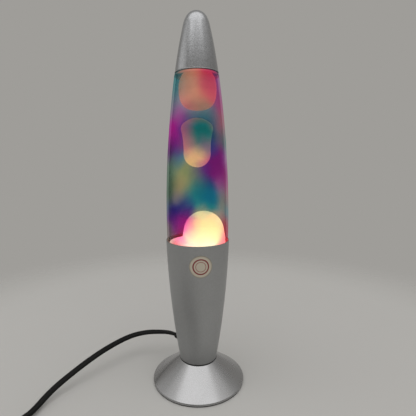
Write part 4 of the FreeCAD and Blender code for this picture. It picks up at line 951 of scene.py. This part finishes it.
def make_studio():
    """A level pale floor under a broad light, in an even grey room.

    The room turns to a soft sky between 25 and 33 degrees up. That is brighter overhead and on the camera's
    side, with a soft box high at the left.
    """
    mesh = bmesh.new()
    bmesh.ops.create_circle(mesh, cap_ends=True, segments=96, radius=0.85)
    floor = finished("studio_floor", mesh)
    dress(studio_paper("studio_paper"), "studio_floor")

    light = bpy.data.lights.new("overhead", "AREA")
    light.shape = "RECTANGLE"
    light.size = 1.65
    light.size_y = 1.0
    light.energy = 3.2
    lamp = bpy.data.objects.new("overhead", light)
    lamp.location = (-0.05, -0.46, 1.3)
    bpy.context.scene.collection.objects.link(lamp)

    world = bpy.data.worlds.new("sky")
    bpy.context.scene.world = world
    world.use_nodes = True
    tree = world.node_tree
    tree.nodes.clear()
    way = add(tree, "SeparateXYZ", {0: add(tree, "TexCoord").outputs["Generated"]})
    rise = add(tree, "MapRange", {"Value": way.outputs["Z"], "From Min": math.sin(math.radians(25)),
                                  "From Max": math.sin(math.radians(33))})
    front = add(tree, "MapRange", {"Value": way.outputs["Y"], "From Min": 0.3, "From Max": 0.12})
    high = add(tree, "MapRange", {"Value": way.outputs["Z"], "From Min": 0.5, "From Max": 0.74})
    bright = add(tree, "MixRGB", {"Fac": high, "Color1": colour("#A9A8A5"), "Color2": colour("#EAE9E6")})
    sky = add(tree, "MixRGB", {"Fac": front, "Color1": colour("#AEADAA"), "Color2": bright})
    tone = add(tree, "MixRGB", {"Fac": rise, "Color1": colour("#9F9D99"), "Color2": sky})
    left = add(tree, "MapRange", {"Value": way.outputs["X"], "From Min": -0.72, "From Max": -0.88})
    over = add(tree, "MapRange", {"Value": way.outputs["Z"], "From Min": 0.28, "From Max": 0.4})
    soft_box = add(tree, "Math", {0: left, 1: over}, operation="MULTIPLY")
    tone = add(tree, "MixRGB", {"Fac": soft_box, "Color1": tone, "Color2": colour("#F2F1EE")})
    add(tree, "OutputWorld", {"Surface": add(tree, "Background", {"Color": tone})})


# Everything put together

scene = bpy.context.scene
scene.view_settings.view_transform = "Standard"
# Enough for every wall of glass and liquid that a view passes through.
scene.cycles.transparent_max_bounces = 24
make_camera()
make_studio()

lamp_lead, lamp_line = lead("lamp_lead", LAMP_ROUTE, lamp_roll)
coil_length = length_of(drawn_line("coil_line", coil_route()))
plug_lead, coil_line = lead("plug_lead", coil_route(), coil_roll(coil_length))
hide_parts("cord_lamp_stretch")
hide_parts("cord_coil")
for piece in (lamp_lead, plug_lead):
    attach(piece, "lamp")
plug_boot = make_plug_boot(coil_line)
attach(plug_boot, "lamp")

top_wax = make_top_wax()
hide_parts("wax_blob_top")
pool_wax = make_pool_wax()
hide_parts("wax_pool_dome")
for piece in (top_wax, pool_wax):
    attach(piece, "bottle")
crown = make_crown()
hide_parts("crown_closure")
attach(crown, "bottle")

cap_bead = make_bead("cap_bead", radius=20.52, height=312.2, thick=0.52)
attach(cap_bead, "cap")
# A dark band under the cap's edge, as painted shade: it stands in for the thin shadow line under the cap.
cap_shadow_band = make_band("cap_shadow_band", inner=19.85, outer=20.6, low=311.3, high=311.75)
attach(cap_shadow_band, "cap")
foot_bead = make_bead("foot_bead", radius=47.0, height=2.35, thick=0.62)
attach(foot_bead, "lamp")
# Black rubber edging under the foot's lip, which also stands in for the contact shadow there.
foot_edging_and_shadow = make_band("foot_edging_and_shadow", inner=45.2, outer=47.2, low=0.1, high=1.3)
# A dark band where the cup meets the foot, as painted shade: it stands in for the thin shadow line of that
# joint, since the cup sits straight on the foot.
cup_shadow_band = make_band("cup_shadow_band", inner=17.6, outer=19.4, low=23.95, high=24.6)
for piece in (foot_edging_and_shadow, cup_shadow_band):
    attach(piece, "lamp")

# Each finish has a darker and a paler tone. Sizes of grain, rings and clouds are in mm.
silver = spun_metal("satin_silver_spun_aluminium", ("#AAABAB", "#B7B8B9"), rough=0.46,
                    ring_mm=0.9, grain_mm=0.9, depth_mm=0.04)
foot_silver = spun_metal("satin_silver_foot", ("#A4A4A5", "#B0B0B2"), rough=0.20,
                         ring_mm=0.9, grain_mm=0.9, depth_mm=0.03)
cap_silver = spun_metal("satin_silver_cap", ("#969799", "#B4B5B8"), rough=0.20,
                        ring_mm=1.2, grain_mm=1.1, depth_mm=0.12)
zinc = plated_metal("zinc_plated_steel", ("#A9ABAD", "#BEBFC0"), rough=0.32, cloud_mm=6.0)
brass = plated_metal("drawn_brass", ("#B8924A", "#CDAE63"), rough=0.28, cloud_mm=5.0)
nickel = plated_metal("nickel_plated_brass", ("#BDBAB2", "#CFCDC6"), rough=0.2, cloud_mm=7.0)
cap_sheet = plated_metal("rolled_bulb_cap", ("#B4B3AF", "#C6C5C1"), rough=0.3, cloud_mm=4.0)
tin = plated_metal("lacquered_tin_plate", ("#B2B0A9", "#C6C4BD"), rough=0.3, cloud_mm=9.0)
spring_wire = plated_metal("spring_steel_wire", ("#6F6E6C", "#8A8886"), rough=0.35, cloud_mm=3.0)
tungsten = plated_metal("drawn_tungsten", ("#77746F", "#8E8B86"), rough=0.4, cloud_mm=2.0)
rubber = moulded("moulded_rubber_and_shadow_bands", ("#242424", "#2E2E2D"), rough=0.75, grain_mm=1.2, depth_mm=0.05)
lead_pvc = moulded("extruded_black_pvc", ("#050505", "#090909"), rough=0.55, grain_mm=1.6, depth_mm=0.03,
                   ior=1.45, specular=0.3)
shell_plastic = moulded("moulded_black_plastic", ("#141414", "#1C1C1C"), rough=0.45, grain_mm=0.9,
                        depth_mm=0.04, ior=1.53)
rocker_plastic = moulded("glossy_black_plastic", ("#0F0F0F", "#161616"), rough=0.22, grain_mm=1.4,
                         depth_mm=0.01, ior=1.53)
porcelain = moulded("glazed_porcelain", ("#E6E2D8", "#F0EDE5"), rough=0.24, grain_mm=3.0, depth_mm=0.03,
                    ior=1.55, coat=0.6)
brown_sleeve = moulded("brown_silicone_sleeve", ("#4E2A18", "#5C3420"), rough=0.5, grain_mm=1.0,
                       depth_mm=0.02, ior=1.43)
blue_sleeve = moulded("blue_silicone_sleeve", ("#1F3C74", "#2A4A86"), rough=0.5, grain_mm=1.0,
                      depth_mm=0.02, ior=1.43)
black_glass = moulded("black_bulb_insulator", ("#101014", "#18181C"), rough=0.18, grain_mm=4.0,
                      depth_mm=0.01, ior=1.52)
stem_glass = moulded("bulb_stem_glass", ("#C9CCCB", "#D8DBDA"), rough=0.12, grain_mm=2.0, depth_mm=0.01)
sealing_disc = moulded("sealing_disc", ("#D8D6CE", "#E4E2DA"), rough=0.6, grain_mm=1.0, depth_mm=0.03)

dress(silver, "cup_shell")
dress(foot_silver, "foot_shell", "foot_bead")
dress(cap_silver, "top_cap", "cap_bead")
dress(zinc, "base_cover", "base_washer", "base_nut", "cup_washer", "cup_nut", "threaded_rod",
      "holder_bracket", "holder_screws", "bottle_seat")
dress(brass, "holder_screw_shell", "holder_centre_contact", "terminal_blocks", "terminal_screws",
      "switch_contacts", "bulb_contact")
dress(nickel, "plug_pins", "switch_screws")
dress(cap_sheet, "bulb_screw_cap")
dress(tin, "crown_flutes")
dress(spring_wire, "heat_ring")
dress(tungsten, "bulb_filament")
# The bands at the cap and the cup take the rubber's black as painted shade.
dress(rubber, "rubber_feet", "foot_edging_and_shadow", "cup_shadow_band", "cap_shadow_band")
dress(lead_pvc, "lamp_lead", "plug_lead", "cord_entry", "cord_gland")
dress(shell_plastic, "switch_base", "switch_cover", "plug_body", "plug_boot", "pin_sleeves")
dress(rocker_plastic, "switch_rocker")
dress(porcelain, "holder_body")
dress(brown_sleeve, "lead_live")
dress(blue_sleeve, "lead_neutral")
dress(black_glass, "bulb_insulator")
dress(stem_glass, "bulb_stem")
dress(sealing_disc, "closure_liner")
dress(dyed_glass("dyed_bottle_glass"), "glass_bottle")
dress(clear_liquid("clear_liquid"), "liquid_fill")
dress(wax_with_painted_glow("paraffin_wax_painted_glow"), "pool_wax", "wax_blob_middle", "top_wax")
dress(round_sticker("round_paper_sticker"), "round_label")
dress(reflector_glass("reflector_bulb_glass"), "bulb_envelope")
